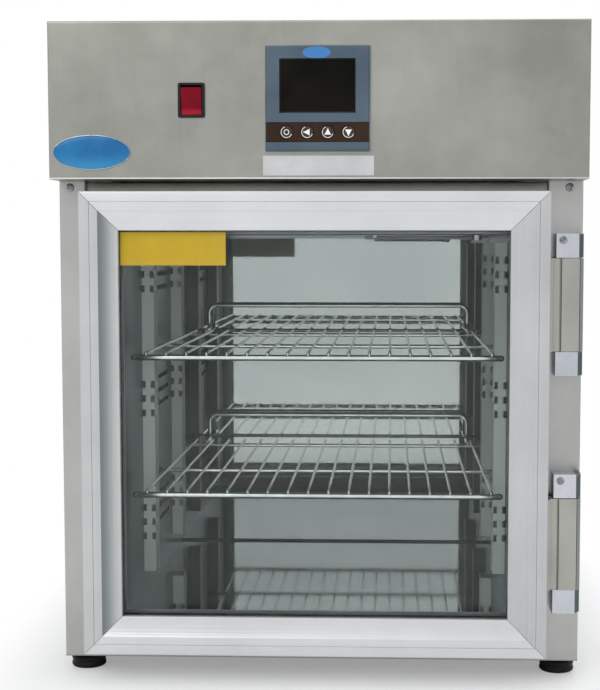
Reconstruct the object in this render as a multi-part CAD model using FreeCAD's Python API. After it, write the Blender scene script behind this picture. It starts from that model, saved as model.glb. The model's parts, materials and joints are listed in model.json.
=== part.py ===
import FreeCAD, Part
import math
import os

# Blanket warming cabinet.  Millimetres, +Z up, the door faces -Y, +X to the right.
# The origin is on the floor under the middle of the cabinet.
# Depths are counted from the face of the fascia towards the back: at_depth() turns them into Y.

# ---- driving dimensions: carcass -----------------------------------------------------
WIDTH = 500.0                # over both side panels
DEPTH = 530.0                # fascia face to rear skin
BODY_HEIGHT = 463.0          # base pan to the underside of the head
HEAD_HEIGHT = 145.0          # head over the door
FOOT_HEIGHT = 16.0           # floor to base pan
SHEET = 1.2                  # stainless outer sheet
BEND = 2.0                   # outside radius of the folds, which are sharp inside
STILE_SETBACK = 40.0         # stile face behind the fascia face
SEAL_STEP = 9.0              # seal face behind the stile face
LEFT_STILE = 26.5            # visible width of the left stile
RIGHT_STILE = 34.5           # visible width of the hinge stile
STILE_GAP = 1.0              # door edge to the step in the stile
STILE_RETURN = 14.0          # fold of the stile along the chamber mouth
REAR_FLANGE = 16.0           # fold of the side panel behind the rear skin
HEADER_FOLD = 40.0           # fold of the header rail under the head
BACK_INSULATION = 45.0       # polished back wall to the rear face
LINER = 1.0                  # liner sheet
DUCT = 19.0                  # air duct between vent panel and duct backplate
FLOOR_RISE = 22.0            # base pan underside to chamber floor
CEILING_INSULATION = 22.0    # liner ceiling to the underside of the head
BAFFLE_FRONT = 74.0          # depth of the baffle's front edge
CEILING_GAP = 27.0           # plenum between baffle and liner ceiling
FOAM_GAP = 0.3               # foam to the sheet beside it
PAN_LIP = 16.0               # turned-up sides of the base pan
PAN_LIP_FRONT = 90.0         # depth where they start
PAN_LIP_REAR = 70.0          # and end, before the rear face
PAN_NUT = 7.0                # half width of the pressed nuts over the feet
PAN_NUT_HEIGHT = 9.0
FOAM_TRIM = 18.0             # foam slabs kept back from the floor and the folds
VENT_MARGIN = 25.5           # air slots from the uprights on both sides of them
VENT_HEIGHT = 5.0
PORT_COUNT = 3               # air ports over the baffle, in each side wall
PORT_MARGIN = 47.0           # ports from the ends of the side wall
PORT_LENGTH = 45.0
PORT_HEIGHT = 14.0
RETURN_SLOTS = 9             # slots of the return grille under the fan
RETURN_PITCH = 11.5
RETURN_HEIGHT = 5.0

# ---- door ----------------------------------------------------------------------------
DOOR_HEIGHT = 440.0
DOOR_UNDER = 12.5            # base pan underside to door bottom
DOOR_THICKNESS = 38.0
FRAME_FACE = 36.8            # visible width of the door extrusions
FRAME_WALL = 2.4             # wall of the extrusions round their chamber
SEAL_OVERLAP = 24.0          # door over the chamber mouth, each side
MITRE_GAP = 0.15             # half of the open line in each mitre
GLASS_SETBACK = 9.7          # frame face to the outer pane
PANE = 4.0                   # each pane
PANE_SPACE = 12.0            # air between the panes
GLASS_BITE = 10.0            # pane edge inside the extrusion
PANE_EDGE_CLEAR = 2.0        # pane edge to the bottom of its pocket
PANE_SEAT = 0.3              # glazing tape between pane and pocket
GROOVE_INSET = 10.0          # door edge to the groove in the face
BEVEL_INSET = 22.0           # door edge to the start of the bevel
SPACER_WIDTH = 7.0
GASKET_WIDTH = 15.0
GASKET_INSET = 5.0           # door edge to gasket
GASKET_CLEAR = 0.3           # gasket lip to the seal face
KEY_LEG = 48.0               # leg of each corner key from the door's corner
SIDES = ("left", "right", "top", "bottom")

# ---- hinges --------------------------------------------------------------------------
HINGE_AXIS_X = 16.7          # hinge axis inside the right side of the cabinet
HINGE_AXIS_DEPTH = 20.0      # hinge axis behind the door face
HINGE_BLOCK = 22.5           # height of each bracket block
HINGE_BARREL = 87.0          # height of the barrel between the blocks
HINGE_CLEAR = 0.5            # barrel to block, above and below
HINGE_PIN_R = 4.0
PIN_LOW = 6.0                # metal under the pin
PIN_TOP = 3.0                # metal over it
PIN_RUNNING = 0.05           # radial clearance, barrel on pin
PIN_SEAT = 0.01              # radial clearance, pin in block
UPPER_HINGE_TOP = 413.0      # base pan underside to the top of the upper bracket
LOWER_HINGE_TOP = 186.5
BLOCK_FRONT = 14.0           # depth of the block faces
BLOCK_LEFT = 28.5            # block faces, inside the right side of the cabinet
BLOCK_RIGHT = 6.8
BRACKET_EDGE = 1.0           # bracket plate inside the right side of the cabinet
BRACKET_PLATE = 2.0
BEVEL_BACK = 8.0             # how far back the right-hand bevel runs
BARREL_RIGHT = 1.8
BARREL_FRONT = 12.5
BARREL_BACK = 28.0
BARREL_GROOVE = 24.6         # groove between leaf and barrel, inside the right side
LEAF_PLATE = 2.6
LEAF_DEPTH = 26.0

# ---- shelves -------------------------------------------------------------------------
UPPER_SHELF_RISE = 295.0     # base pan underside to the wire centres
LOWER_SHELF_RISE = 156.5
SHELF_FRONT = 88.0           # depth of the front rail
FRONT_RAIL_END = 14.5        # end of the front rail to the side wall
FRONT_RAIL_R = 3.0
CROSS_RAIL_R = 2.3
CROSS_RAIL_END = 5.5         # ends of the cross rails to the side wall
RAIL_BEHIND_UPRIGHT = 42.0   # cross rail behind the front of its upright
WIRE_COUNT = 18
WIRE_MARGIN = 22.95          # outer wires to the side walls
WIRE_R = 1.3
WIRE_FRONT_OVER = 2.5        # wire ends in front of the front rail
WIRE_SIDES = 6               # flats round a wire and round a rail
STOP_MARGIN = 36.0           # back stop to the side walls
STOP_HEIGHT = 29.0
STOP_BEHIND_RAIL = 26.0      # back stop behind the rear cross rail
STOP_FOOT = 6.0              # back stop's feet in front of the rear cross rail
STOP_R = 2.0
STOP_BEND = 10.0
STOP_BEND_STEPS = 3          # flats round each bend

# ---- uprights and clips --------------------------------------------------------------
UPRIGHT_PROUD = 13.1
UPRIGHT_WIDTH = 24.0
UPRIGHT_SHEET = 1.2
FRONT_UPRIGHT = 110.0        # front upright behind the front rail
REAR_UPRIGHT = 87.0          # front of the rear upright before the back wall
UPRIGHT_BOTTOM = 48.0        # base pan underside to the bottom of the uprights
UPRIGHT_TOP_CLEAR = 7.0      # top of the uprights under the baffle
NOTCH_PITCH = 15.5
NOTCH_HEIGHT = 7.5
NOTCH_INNER = 4.3
NOTCH_OUTER = 3.2
NOTCH_DEPTH = 8.0            # how far back the notches run
NOTCHES_IN_GROUP = 3
NOTCH_GROUPS = (83.0, 217.5, 351.5)    # base pan underside to the lowest notch of each group
CLIP_SHEET = 1.5
CLIP_LEDGE = 13.0
CLIP_LIP = 4.0
CLIP_DROP = 14.0
CLIP_PAST_RAIL = 4.0         # clip end behind the cross rail it carries

# ---- head ----------------------------------------------------------------------------
FASCIA_RETURN = 30.0         # fascia side folds
FASCIA_FLANGE = 72.0         # depth of the fold under the overhang
DECK_LIP = 14.0              # turned-up sides of the head deck
BEZEL = 96.0                 # controller bezel, square
BEZEL_PROUD = 5.0
BEZEL_CENTRE_X = 0.2
BEZEL_CENTRE_DROP = 71.8     # top of the cabinet to the bezel's centre
HOUSING = 91.0               # controller body behind the panel, square
HOUSING_DEPTH = 62.0
CLAMP_LENGTH = 34.0          # side clamps of the controller
CLAMP_HEIGHT = 18.0
CLAMP_WIDTH = 4.0
SCREEN_W = 70.0
SCREEN_H = 49.5
SCREEN_RISE = 11.6           # bezel centre to screen centre
KEY_R = 5.9
KEY_CLEAR = 0.4
KEY_PITCH = 19.0
KEY_DROP = 30.6              # bezel centre to key row
KEY_TRAVEL = 1.0
KEY_STOP_CLEAR = 0.2         # key back to the well floor at the end of its travel
KEY_WELL_FLOOR = 1.0         # well floor in front of the panel
KEY_PROUD = 0.6
BAND_H = 18.4                # recessed band behind the keys
BAND_DEEP = 0.8
SWITCH_W = 24.8
SWITCH_H = 31.8
SWITCH_X = -116.4
SWITCH_DROP = 72.7           # top of the cabinet to the switch's centre
SWITCH_FRAME = 2.0
SWITCH_BODY_DEPTH = 26.0
ROCKER_W = 19.2
ROCKER_H = 25.6
ROCKER_TILT = 9.0            # degrees off level, each way
ROCKER_CLEAR = 0.5
PIVOT_DEPTH = 5.0            # rocker axis behind the fascia face

# ---- fan, heater, feet ---------------------------------------------------------------
FAN_R = 58.0
FAN_BLADES = 9
FAN_HUB_R = 11.0
BLADE_SHEET = 1.2
BLADE_RADII = (24.0, 40.0, 57.0)
BLADE_LAGS = (0.0, 0.30, 0.72)         # radians behind the root at those radii
FAN_HEIGHT = 16.0
FAN_DEPTH = 275.0
SHAFT_R = 4.0
SHAFT_CLEAR = 0.06
SHAFT_REACH = 34.0           # shaft above the liner ceiling, inside the motor
MOTOR_R = 38.0
MOTOR_HEIGHT = 52.0
HEATER_TUBE = 8.4            # heater tube, square
HEATER_FIN = 21.0            # square fins
HEATER_FIN_SHEET = 0.8
HEATER_RISE = 13.0           # ring above the baffle
HEATER_SIDES = 8             # straight lengths in the ring
HEATER_FINS_EACH = 1         # fins on each length
HEATER_RING_R = 84.0
HEATER_LEG_SPREAD = 10.0     # degrees each side of the ring's rear point
PROBE_LENGTH = 110.0         # tip to holder
PROBE_HOLDER_INSET = 39.5    # holder to the side wall
PROBE_R = 1.6
PROBE_HOLDER_R = 5.0
PROBE_DROP = 2.6             # baffle to the probe's axis
PROBE_BEHIND_EDGE = 16.0     # probe behind the front edge of the baffle
THERMOSTAT_SIDE = 125.0      # cut-out to the right of the fan axis
THERMOSTAT_FRONT = 60.0      # and in front of it
TERMINAL_X = -120.0          # left end of the terminal block
TERMINAL_WAYS = 5
TERMINAL_PITCH = 14.0
TERMINAL_DEPTH = 380.0
INLET_INSET = 78.0           # inlet's centre inside the left side
INLET_RISE = 42.0            # head deck to the inlet's centre
INLET_W = 27.0
INLET_H = 20.0
INLET_DEEP = 30.0
FOOT_R = 17.0
FOOT_EDGE = 2.0
FOOT_NUT = 8.0               # half width of the nut
STEM_REACH = 14.0            # stem above the base pan's underside
FOOT_PAD = 12.0              # height of the pad under the nut
FOOT_INSET_X = 17.5          # foot centre inside the side skin
FOOT_INSET_DEPTH = 66.0      # front feet, behind the fascia face
FOOT_REAR_INSET = 40.0       # rear feet, in front of the rear skin
STEM_R = 4.0
STEM_CLEAR = 0.06
SCREW_HEAD_R = 2.85
SCREW_SHANK_R = 1.6
SCREW_HEAD = 1.8
SCREW_SIDES = 8              # flats round a screw head
ROUND_SIDES = 16             # flats round a key, a foot and the like
SCREW_SHANK = 6.0
SCREW_HOLE = 20.0            # depth that the holes are cut to
LEFT_SCREW_INSET = 10.5      # stile screws inside the side skins
RIGHT_SCREW_INSET = 12.9
STILE_SCREW_DROP = 6.2       # underside of the head to the stile screws
REAR_SCREW_END = 60.0        # rear screws from the ends of the rear skin
LOUVRE_PROUD = 4.0
LOUVRE_COUNT = 6
LOUVRE_PITCH = 17.0
LOUVRE_RISE = 26.0           # head deck to the lowest louvre
LOUVRE_LENGTH = 90.0
LOUVRE_LEFT_ENDS = (-60.0, 70.0)

# ---- worked-out places ---------------------------------------------------------------
HALF = WIDTH / 2
FRONT_Y = -(DEPTH + LOUVRE_PROUD - BEZEL_PROUD) / 2
BASE_Z = FOOT_HEIGHT
BODY_TOP = BASE_Z + BODY_HEIGHT
TOP_Z = BODY_TOP + HEAD_HEIGHT
SEAL_DEPTH = STILE_SETBACK + SEAL_STEP
BACK_WALL_DEPTH = DEPTH - BACK_INSULATION
DOOR_LEFT = -HALF + LEFT_STILE
DOOR_RIGHT = HALF - RIGHT_STILE
DOOR_BOTTOM = BASE_Z + DOOR_UNDER
DOOR_TOP = DOOR_BOTTOM + DOOR_HEIGHT
MOUTH_LEFT = DOOR_LEFT + SEAL_OVERLAP
MOUTH_RIGHT = DOOR_RIGHT - SEAL_OVERLAP
MOUTH_BOTTOM = DOOR_BOTTOM + SEAL_OVERLAP
MOUTH_TOP = DOOR_TOP - SEAL_OVERLAP
CHAMBER_MID = (MOUTH_LEFT + MOUTH_RIGHT) / 2
FLOOR_Z = BASE_Z + FLOOR_RISE
CEILING_Z = BODY_TOP - CEILING_INSULATION - LINER
BAFFLE_Z = CEILING_Z - CEILING_GAP - LINER
REAR_SKIN = DEPTH - SHEET
LINER_FRONT = SEAL_DEPTH + STILE_RETURN
SILL_BACK = LINER_FRONT + 7.0
HINGE_X = HALF - HINGE_AXIS_X
UPRIGHT_DEPTHS = (SHELF_FRONT + FRONT_UPRIGHT, BACK_WALL_DEPTH - REAR_UPRIGHT)
MID_RAIL_DEPTH, REAR_RAIL_DEPTH = [depth + RAIL_BEHIND_UPRIGHT for depth in UPRIGHT_DEPTHS]
STOP_DEPTH = REAR_RAIL_DEPTH + STOP_BEHIND_RAIL


def at_depth(depth):
    """Y of a plane that lies the given depth behind the fascia face."""
    return FRONT_Y + depth


# ---- helpers -------------------------------------------------------------------------
def box(x0, x1, d0, d1, z0, z1):
    """Block between two X, two depths and two heights."""
    corner = FreeCAD.Vector(x0, at_depth(d0), z0)
    return Part.makeBox(x1 - x0, d1 - d0, z1 - z0, corner)


def rod(start, end, radius):
    """Round bar between two (x, depth, z) points."""
    a = FreeCAD.Vector(start[0], at_depth(start[1]), start[2])
    b = FreeCAD.Vector(end[0], at_depth(end[1]), end[2])
    return Part.makeCylinder(radius, (b - a).Length, a, b - a)


def regular(u, v, radius, sides):
    """Corners of an even-sided outline round the circle about (u, v), one flat side down."""
    reach = radius / math.cos(math.pi / sides)
    turns = [math.pi * (2 * i + 1) / sides - math.pi / 2 for i in range(sides)]
    return [(u + reach * math.cos(turn), v + reach * math.sin(turn)) for turn in turns]


def rounded_wire(points, radii, closed=True):
    """Straight runs joined by tangent arcs of the given radii, one radius per point."""
    count = len(points)
    edges = []
    joints = []
    for i, corner in enumerate(points):
        radius = radii[i]
        if radius <= 0 or (not closed and i in (0, count - 1)):
            joints.append((corner, corner))
            continue
        back = (points[i - 1] - corner).normalize()
        ahead = (points[(i + 1) % count] - corner).normalize()
        half_angle = back.getAngle(ahead) / 2
        reach = radius / math.tan(half_angle)
        middle = (back + ahead).normalize()
        centre = corner + middle * (radius / math.sin(half_angle))
        first = corner + back * reach
        last = corner + ahead * reach
        joints.append((first, last))
        edges.append(Part.Arc(first, centre - middle * radius, last).toShape())
    spans = count if closed else count - 1
    for i in range(spans):
        start = joints[i][1]
        end = joints[(i + 1) % count][0]
        if (end - start).Length > 1e-6:
            edges.append(Part.LineSegment(start, end).toShape())
    return Part.Wire(Part.__sortEdges__(edges))


def prism(plane, points, low, high, radius=0.0):
    """Extrusion of a rounded outline.  plane "xd" runs up, "dz" runs along X, "xz" runs back."""
    radii = radius if isinstance(radius, (list, tuple)) else [radius] * len(points)
    if plane == "xd":
        corners = [FreeCAD.Vector(x, at_depth(d), low) for x, d in points]
        along = FreeCAD.Vector(0, 0, high - low)
    elif plane == "dz":
        corners = [FreeCAD.Vector(low, at_depth(d), z) for d, z in points]
        along = FreeCAD.Vector(high - low, 0, 0)
    else:
        corners = [FreeCAD.Vector(x, at_depth(low), z) for x, z in points]
        along = FreeCAD.Vector(0, high - low, 0)
    return Part.Face(rounded_wire(corners, radii)).extrude(along)


def offset_line(points, distance):
    """The same open run of right-angle folds, moved sideways; positive is to the right."""
    moved = []
    for i, (u, v) in enumerate(points):
        shift_u = 0.0
        shift_v = 0.0
        for a, b in ((i - 1, i), (i, i + 1)):
            if a < 0 or b >= len(points):
                continue
            du = points[b][0] - points[a][0]
            dv = points[b][1] - points[a][1]
            length = math.hypot(du, dv)
            side_u = round(dv / length, 9) * distance
            side_v = round(-du / length, 9) * distance
            if abs(side_u) > abs(shift_u):
                shift_u = side_u
            if abs(side_v) > abs(shift_v):
                shift_v = side_v
        moved.append((u + shift_u, v + shift_v))
    return moved


def folded(plane, face, low, high, thickness):
    """Sheet folded along the outer face line; the sheet lies to its right when positive."""
    other = offset_line(face, thickness)
    outline = face + other[::-1]
    radii = [0.0] * len(outline)
    last = len(face) - 1
    for i in range(1, last):
        before = (face[i][0] - face[i - 1][0], face[i][1] - face[i - 1][1])
        after = (face[i + 1][0] - face[i][0], face[i + 1][1] - face[i][1])
        turn = before[0] * after[1] - before[1] * after[0]
        outside = turn * thickness < 0
        radii[i if outside else len(outline) - 1 - i] = BEND
    return prism(plane, outline, low, high, radii)


def fuse(shapes):
    """One solid from pieces that meet."""
    return shapes[0].multiFuse(shapes[1:]).removeSplitter()


def group(shapes):
    """Separate solids kept in one node."""
    return Part.Compound(shapes)


def cut_all(shape, tools):
    """The shape less every tool."""
    return shape.cut(Part.Compound(tools)) if tools else shape


def pan_screw(x, depth, z, direction, shank):
    """Plain screw; direction is the depth way the head faces, -1 to the front or 1 to the rear."""
    head = sorted((depth, depth + direction * SCREW_HEAD))
    stem = sorted((depth, depth - direction * shank))
    cap = prism("xz", regular(x, z, SCREW_HEAD_R, SCREW_SIDES), *head)
    return cap.fuse(prism("xz", regular(x, z, SCREW_SHANK_R, 6), *stem))


def screw_hole(x, depth, z, direction, length):
    """Hole that a screw's shank fills, from its face inwards."""
    return prism("xz", regular(x, z, SCREW_SHANK_R, 6), *sorted((depth, depth - direction * length)))


# ---- carcass -------------------------------------------------------------------------
def side_panel(side):
    """Side skin, its stepped stile in front and the flange behind; side is -1 or +1."""
    mouth = MOUTH_LEFT if side < 0 else MOUTH_RIGHT
    step = DOOR_LEFT - STILE_GAP if side < 0 else DOOR_RIGHT + STILE_GAP
    skin = side * HALF
    face = [
        (mouth, LINER_FRONT),
        (mouth, SEAL_DEPTH),
        (step, SEAL_DEPTH),
        (step, STILE_SETBACK),
        (skin, STILE_SETBACK),
        (skin, REAR_SKIN),
        (skin - side * REAR_FLANGE, REAR_SKIN),
    ]
    panel = folded("xd", face, BASE_Z + SHEET, BODY_TOP, -side * SHEET)
    holes = [screw_hole(x, d, z, way, SCREW_HOLE) for x, d, z, way in screw_places() if x * side > 0]
    return cut_all(panel, holes)


def screw_places():
    """Head position and facing of the screws in the stiles, rear skin and head."""
    places = []
    for side, inset in ((-1, LEFT_SCREW_INSET), (1, RIGHT_SCREW_INSET)):
        places.append((side * (HALF - inset), STILE_SETBACK, BODY_TOP - STILE_SCREW_DROP, -1))
    span = BODY_HEIGHT - 2 * REAR_SCREW_END
    rear_rows = [BASE_Z + REAR_SCREW_END + i * span / 2 for i in range(3)]
    for side in (-1, 1):
        for z in rear_rows:
            places.append((side * (HALF - REAR_FLANGE / 2), DEPTH, z, 1))
    return places


def cabinet_screws():
    return group([pan_screw(x, d, z, way, SCREW_SHANK) for x, d, z, way in screw_places()])


def back_panel():
    panel = box(-HALF + SHEET, HALF - SHEET, REAR_SKIN, DEPTH, BASE_Z + SHEET, BODY_TOP)
    holes = [screw_hole(x, d, z, way, SCREW_HOLE) for x, d, z, way in screw_places() if way > 0]
    return cut_all(panel, holes)


def foot_places():
    """Foot centres as (name, x, depth)."""
    x = HALF - FOOT_INSET_X
    rear = DEPTH - FOOT_REAR_INSET
    return [
        ("front_left", -x, FOOT_INSET_DEPTH),
        ("front_right", x, FOOT_INSET_DEPTH),
        ("rear_left", -x, rear),
        ("rear_right", x, rear),
    ]


def base_pan():
    """Floor sheet with turned-up sides and a pressed nut over each foot."""
    pan = [box(-HALF, HALF, STILE_SETBACK, DEPTH, BASE_Z, BASE_Z + SHEET)]
    lip_x = HALF - SHEET - FOAM_GAP
    for side in (-1, 1):
        x0, x1 = sorted((side * lip_x, side * (lip_x - SHEET)))
        pan.append(box(x0, x1, PAN_LIP_FRONT, DEPTH - PAN_LIP_REAR, BASE_Z, BASE_Z + PAN_LIP))
    for _, x, depth in foot_places():
        pan.append(prism("xd", regular(x, depth, PAN_NUT, 6), BASE_Z, BASE_Z + PAN_NUT_HEIGHT))
    bores = [rod((x, d, BASE_Z - 1), (x, d, BASE_Z + PAN_NUT_HEIGHT + 1), STEM_R + STEM_CLEAR)
             for _, x, d in foot_places()]
    return cut_all(fuse(pan), bores)


def bottom_sill():
    """Front sill under the chamber mouth: seal face, top and a drop to the floor pan."""
    face = [
        (SEAL_DEPTH, BASE_Z + SHEET),
        (SEAL_DEPTH, MOUTH_BOTTOM),
        (SILL_BACK, MOUTH_BOTTOM),
        (SILL_BACK, FLOOR_Z),
    ]
    return folded("dz", face, MOUTH_LEFT, MOUTH_RIGHT, SHEET)


def header_rail():
    """Rail above the chamber mouth: seal face with a fold below and one under the head."""
    face = [
        (SILL_BACK, MOUTH_TOP),
        (SEAL_DEPTH, MOUTH_TOP),
        (SEAL_DEPTH, BODY_TOP),
        (SEAL_DEPTH + HEADER_FOLD, BODY_TOP),
    ]
    return folded("dz", face, MOUTH_LEFT, MOUTH_RIGHT, SHEET)


def wall_planes(side):
    """X of the vent panel face, the duct side of its sheet and both faces of the backplate."""
    mouth = MOUTH_LEFT if side < 0 else MOUTH_RIGHT
    vent_back = mouth + side * LINER
    plate_face = vent_back + side * DUCT
    return mouth, vent_back, plate_face, plate_face + side * LINER


def insulation_foam():
    """Five slabs round the chamber, kept clear of the sheet by a named gap."""
    top = CEILING_Z + LINER + FOAM_GAP
    under = FLOOR_Z - LINER - FOAM_GAP
    behind = BACK_WALL_DEPTH + LINER + FOAM_GAP
    skin = HALF - 2 * SHEET - 2 * FOAM_GAP
    slabs = []
    for side in (-1, 1):
        plate_back = wall_planes(side)[3]
        x0, x1 = sorted((side * skin, plate_back + side * FOAM_GAP))
        slabs.append(box(x0, x1, LINER_FRONT + FOAM_GAP, behind - 2 * FOAM_GAP, under + FOAM_TRIM, top - 1))
    inner = skin - FOAM_TRIM
    slabs.append(box(-inner, inner, behind, REAR_SKIN - SHEET - FOAM_GAP, under + FOAM_TRIM, top - 1))
    slabs.append(box(MOUTH_LEFT, MOUTH_RIGHT, LINER_FRONT + 10, BACK_WALL_DEPTH - 10,
                     BASE_Z + SHEET + FOAM_GAP, under))
    ceiling = box(-inner, inner, LINER_FRONT + FOAM_TRIM, REAR_SKIN - FOAM_TRIM, top, BODY_TOP - SHEET - 2)
    shaft_way = rod((CHAMBER_MID, FAN_DEPTH, top - 5), (CHAMBER_MID, FAN_DEPTH, TOP_Z), MOTOR_R + 1)
    slabs.append(ceiling.cut(shaft_way))
    return group(slabs)


# ---- liner ---------------------------------------------------------------------------
def liner_back():
    left = wall_planes(-1)[3]
    right = wall_planes(1)[3]
    return box(left, right, BACK_WALL_DEPTH, BACK_WALL_DEPTH + LINER, FLOOR_Z - LINER, CEILING_Z)


def liner_floor():
    left = wall_planes(-1)[3]
    right = wall_planes(1)[3]
    return box(left, right, SILL_BACK - SHEET, BACK_WALL_DEPTH, FLOOR_Z - LINER, FLOOR_Z)


def liner_ceiling():
    left = wall_planes(-1)[3]
    right = wall_planes(1)[3]
    sheet = box(left, right, LINER_FRONT, BACK_WALL_DEPTH + LINER, CEILING_Z, CEILING_Z + LINER)
    hole = rod((CHAMBER_MID, FAN_DEPTH, CEILING_Z - 5), (CHAMBER_MID, FAN_DEPTH, CEILING_Z + 5),
               SHAFT_R + 3)
    half = HEATER_TUBE / 2
    legs = [prism("xd", regular(x, d, half, 4), CEILING_Z - 3, CEILING_Z + 3)
            for x, d in heater_legs()]
    return cut_all(sheet, [hole] + legs)


def duct_backplates():
    plates = []
    for side in (-1, 1):
        x0, x1 = sorted(wall_planes(side)[2:])
        plates.append(box(x0, x1, LINER_FRONT, BACK_WALL_DEPTH, FLOOR_Z, CEILING_Z))
    return group(plates)


def vent_panel(side):
    """Side wall of the chamber with rows of air slots between the uprights."""
    mouth, vent_back, _, _ = wall_planes(side)
    x0, x1 = sorted((mouth, vent_back))
    panel = box(x0, x1, LINER_FRONT, BACK_WALL_DEPTH, FLOOR_Z, CEILING_Z)
    slots = []
    first = UPRIGHT_DEPTHS[0] + UPRIGHT_WIDTH + VENT_MARGIN
    for row_z in NOTCH_GROUPS:
        for i in range(NOTCHES_IN_GROUP):
            z = BASE_Z + row_z + i * NOTCH_PITCH
            slots.append(box(x0 - 2, x1 + 2, first, UPRIGHT_DEPTHS[1] - VENT_MARGIN, z, z + VENT_HEIGHT))
    span = BACK_WALL_DEPTH - LINER_FRONT - 2 * PORT_MARGIN - PORT_LENGTH
    low = (BAFFLE_Z + CEILING_Z - PORT_HEIGHT) / 2
    for i in range(PORT_COUNT):
        depth = LINER_FRONT + PORT_MARGIN + i * span / (PORT_COUNT - 1)
        slots.append(box(x0 - 2, x1 + 2, depth, depth + PORT_LENGTH, low, low + PORT_HEIGHT))
    return cut_all(panel, slots)


def ceiling_baffle():
    """Baffle under the plenum with a folded front edge and a slotted return grille."""
    face = [
        (BAFFLE_FRONT, CEILING_Z),
        (BAFFLE_FRONT, BAFFLE_Z),
        (BACK_WALL_DEPTH, BAFFLE_Z),
    ]
    sheet = folded("dz", face, MOUTH_LEFT, MOUTH_RIGHT, -LINER)
    slots = []
    for i in range(RETURN_SLOTS):
        offset = (i - (RETURN_SLOTS - 1) / 2) * RETURN_PITCH
        half = math.sqrt(FAN_R ** 2 - offset ** 2) - 2
        front = FAN_DEPTH + offset - RETURN_HEIGHT / 2
        slots.append(box(CHAMBER_MID - half, CHAMBER_MID + half, front, front + RETURN_HEIGHT,
                         BAFFLE_Z - 2, BAFFLE_Z + 3))
    return cut_all(sheet, slots)


def shelf_uprights():
    """Four channels on the side walls, notched at both edges in groups."""
    channels = []
    for side in (-1, 1):
        wall = wall_planes(side)[0]
        web = wall - side * UPRIGHT_PROUD
        for depth in UPRIGHT_DEPTHS:
            low = BASE_Z + UPRIGHT_BOTTOM
            high = BAFFLE_Z - UPRIGHT_TOP_CLEAR
            face = [(wall, depth), (web, depth), (web, depth + UPRIGHT_WIDTH), (wall, depth + UPRIGHT_WIDTH)]
            channel = prism("xd", face + offset_line(face, side * UPRIGHT_SHEET)[::-1], low, high)
            bites = []
            for group_z in NOTCH_GROUPS:
                for i in range(NOTCHES_IN_GROUP):
                    z = BASE_Z + group_z + i * NOTCH_PITCH
                    inner = sorted((web - side, web + side * NOTCH_INNER))
                    outer = sorted((wall + side, wall - side * NOTCH_OUTER))
                    for x0, x1 in (inner, outer):
                        bites.append(box(x0, x1, depth - 1, depth + NOTCH_DEPTH, z, z + NOTCH_HEIGHT))
            channels.append(cut_all(channel, bites))
    return group(channels)


def shelf_clips(wire_z):
    """Folded clips beside the uprights; the ends of the cross rails lie on their ledges."""
    ledge_top = wire_z - WIRE_R - 2 * CROSS_RAIL_R
    clips = []
    for side in (-1, 1):
        wall = wall_planes(side)[0]
        tip = wall - side * CLIP_LEDGE
        for upright, rail in zip(UPRIGHT_DEPTHS, (MID_RAIL_DEPTH, REAR_RAIL_DEPTH)):
            d0 = upright + UPRIGHT_WIDTH
            d1 = rail + CROSS_RAIL_R + CLIP_PAST_RAIL
            drop = box(*sorted((wall, wall - side * CLIP_SHEET)), d0, d1, ledge_top - CLIP_DROP, ledge_top)
            ledge = box(*sorted((wall, tip)), d0, d1, ledge_top - CLIP_SHEET, ledge_top)
            stop = box(*sorted((wall, tip)), d1 - CLIP_SHEET, d1, ledge_top - CLIP_SHEET,
                       ledge_top + CLIP_LIP)
            clips.append(fuse([drop, ledge, stop]))
    return group(clips)


# ---- shelves -------------------------------------------------------------------------
def rail_z(wire_z, radius):
    """Centre height of a rail that the wires lie on."""
    return wire_z - WIRE_R - radius


def shelf_grid(wire_z):
    """Front rail, two cross rails and the fore and aft wires welded on top of them."""
    bars = []
    for depth, radius, end in (
        (SHELF_FRONT, FRONT_RAIL_R, FRONT_RAIL_END),
        (MID_RAIL_DEPTH, CROSS_RAIL_R, CROSS_RAIL_END),
        (REAR_RAIL_DEPTH, CROSS_RAIL_R, CROSS_RAIL_END),
    ):
        outline = regular(depth, rail_z(wire_z, radius), radius, WIRE_SIDES)
        bars.append(prism("dz", outline, MOUTH_LEFT + end, MOUTH_RIGHT - end))
    first = MOUTH_LEFT + WIRE_MARGIN
    pitch = (MOUTH_RIGHT - WIRE_MARGIN - first) / (WIRE_COUNT - 1)
    for i in range(WIRE_COUNT):
        outline = regular(first + i * pitch, wire_z, WIRE_R, WIRE_SIDES)
        bars.append(prism("xz", outline, SHELF_FRONT - WIRE_FRONT_OVER, STOP_DEPTH - STOP_R - WIRE_R))
    return bars[0].multiFuse(bars[1:])


def eased(route, reach, steps):
    """The same route with each inner corner turned in a few flats, set back by reach."""
    points = [route[0]]
    for before, corner, after in zip(route, route[1:], route[2:]):
        back = (before - corner).normalize() * reach
        ahead = (after - corner).normalize() * reach
        for i in range(steps + 1):
            turn = math.pi / 2 * i / steps
            points.append(corner + back * (1 - math.sin(turn)) + ahead * (1 - math.cos(turn)))
    return points + [route[-1]]


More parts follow.
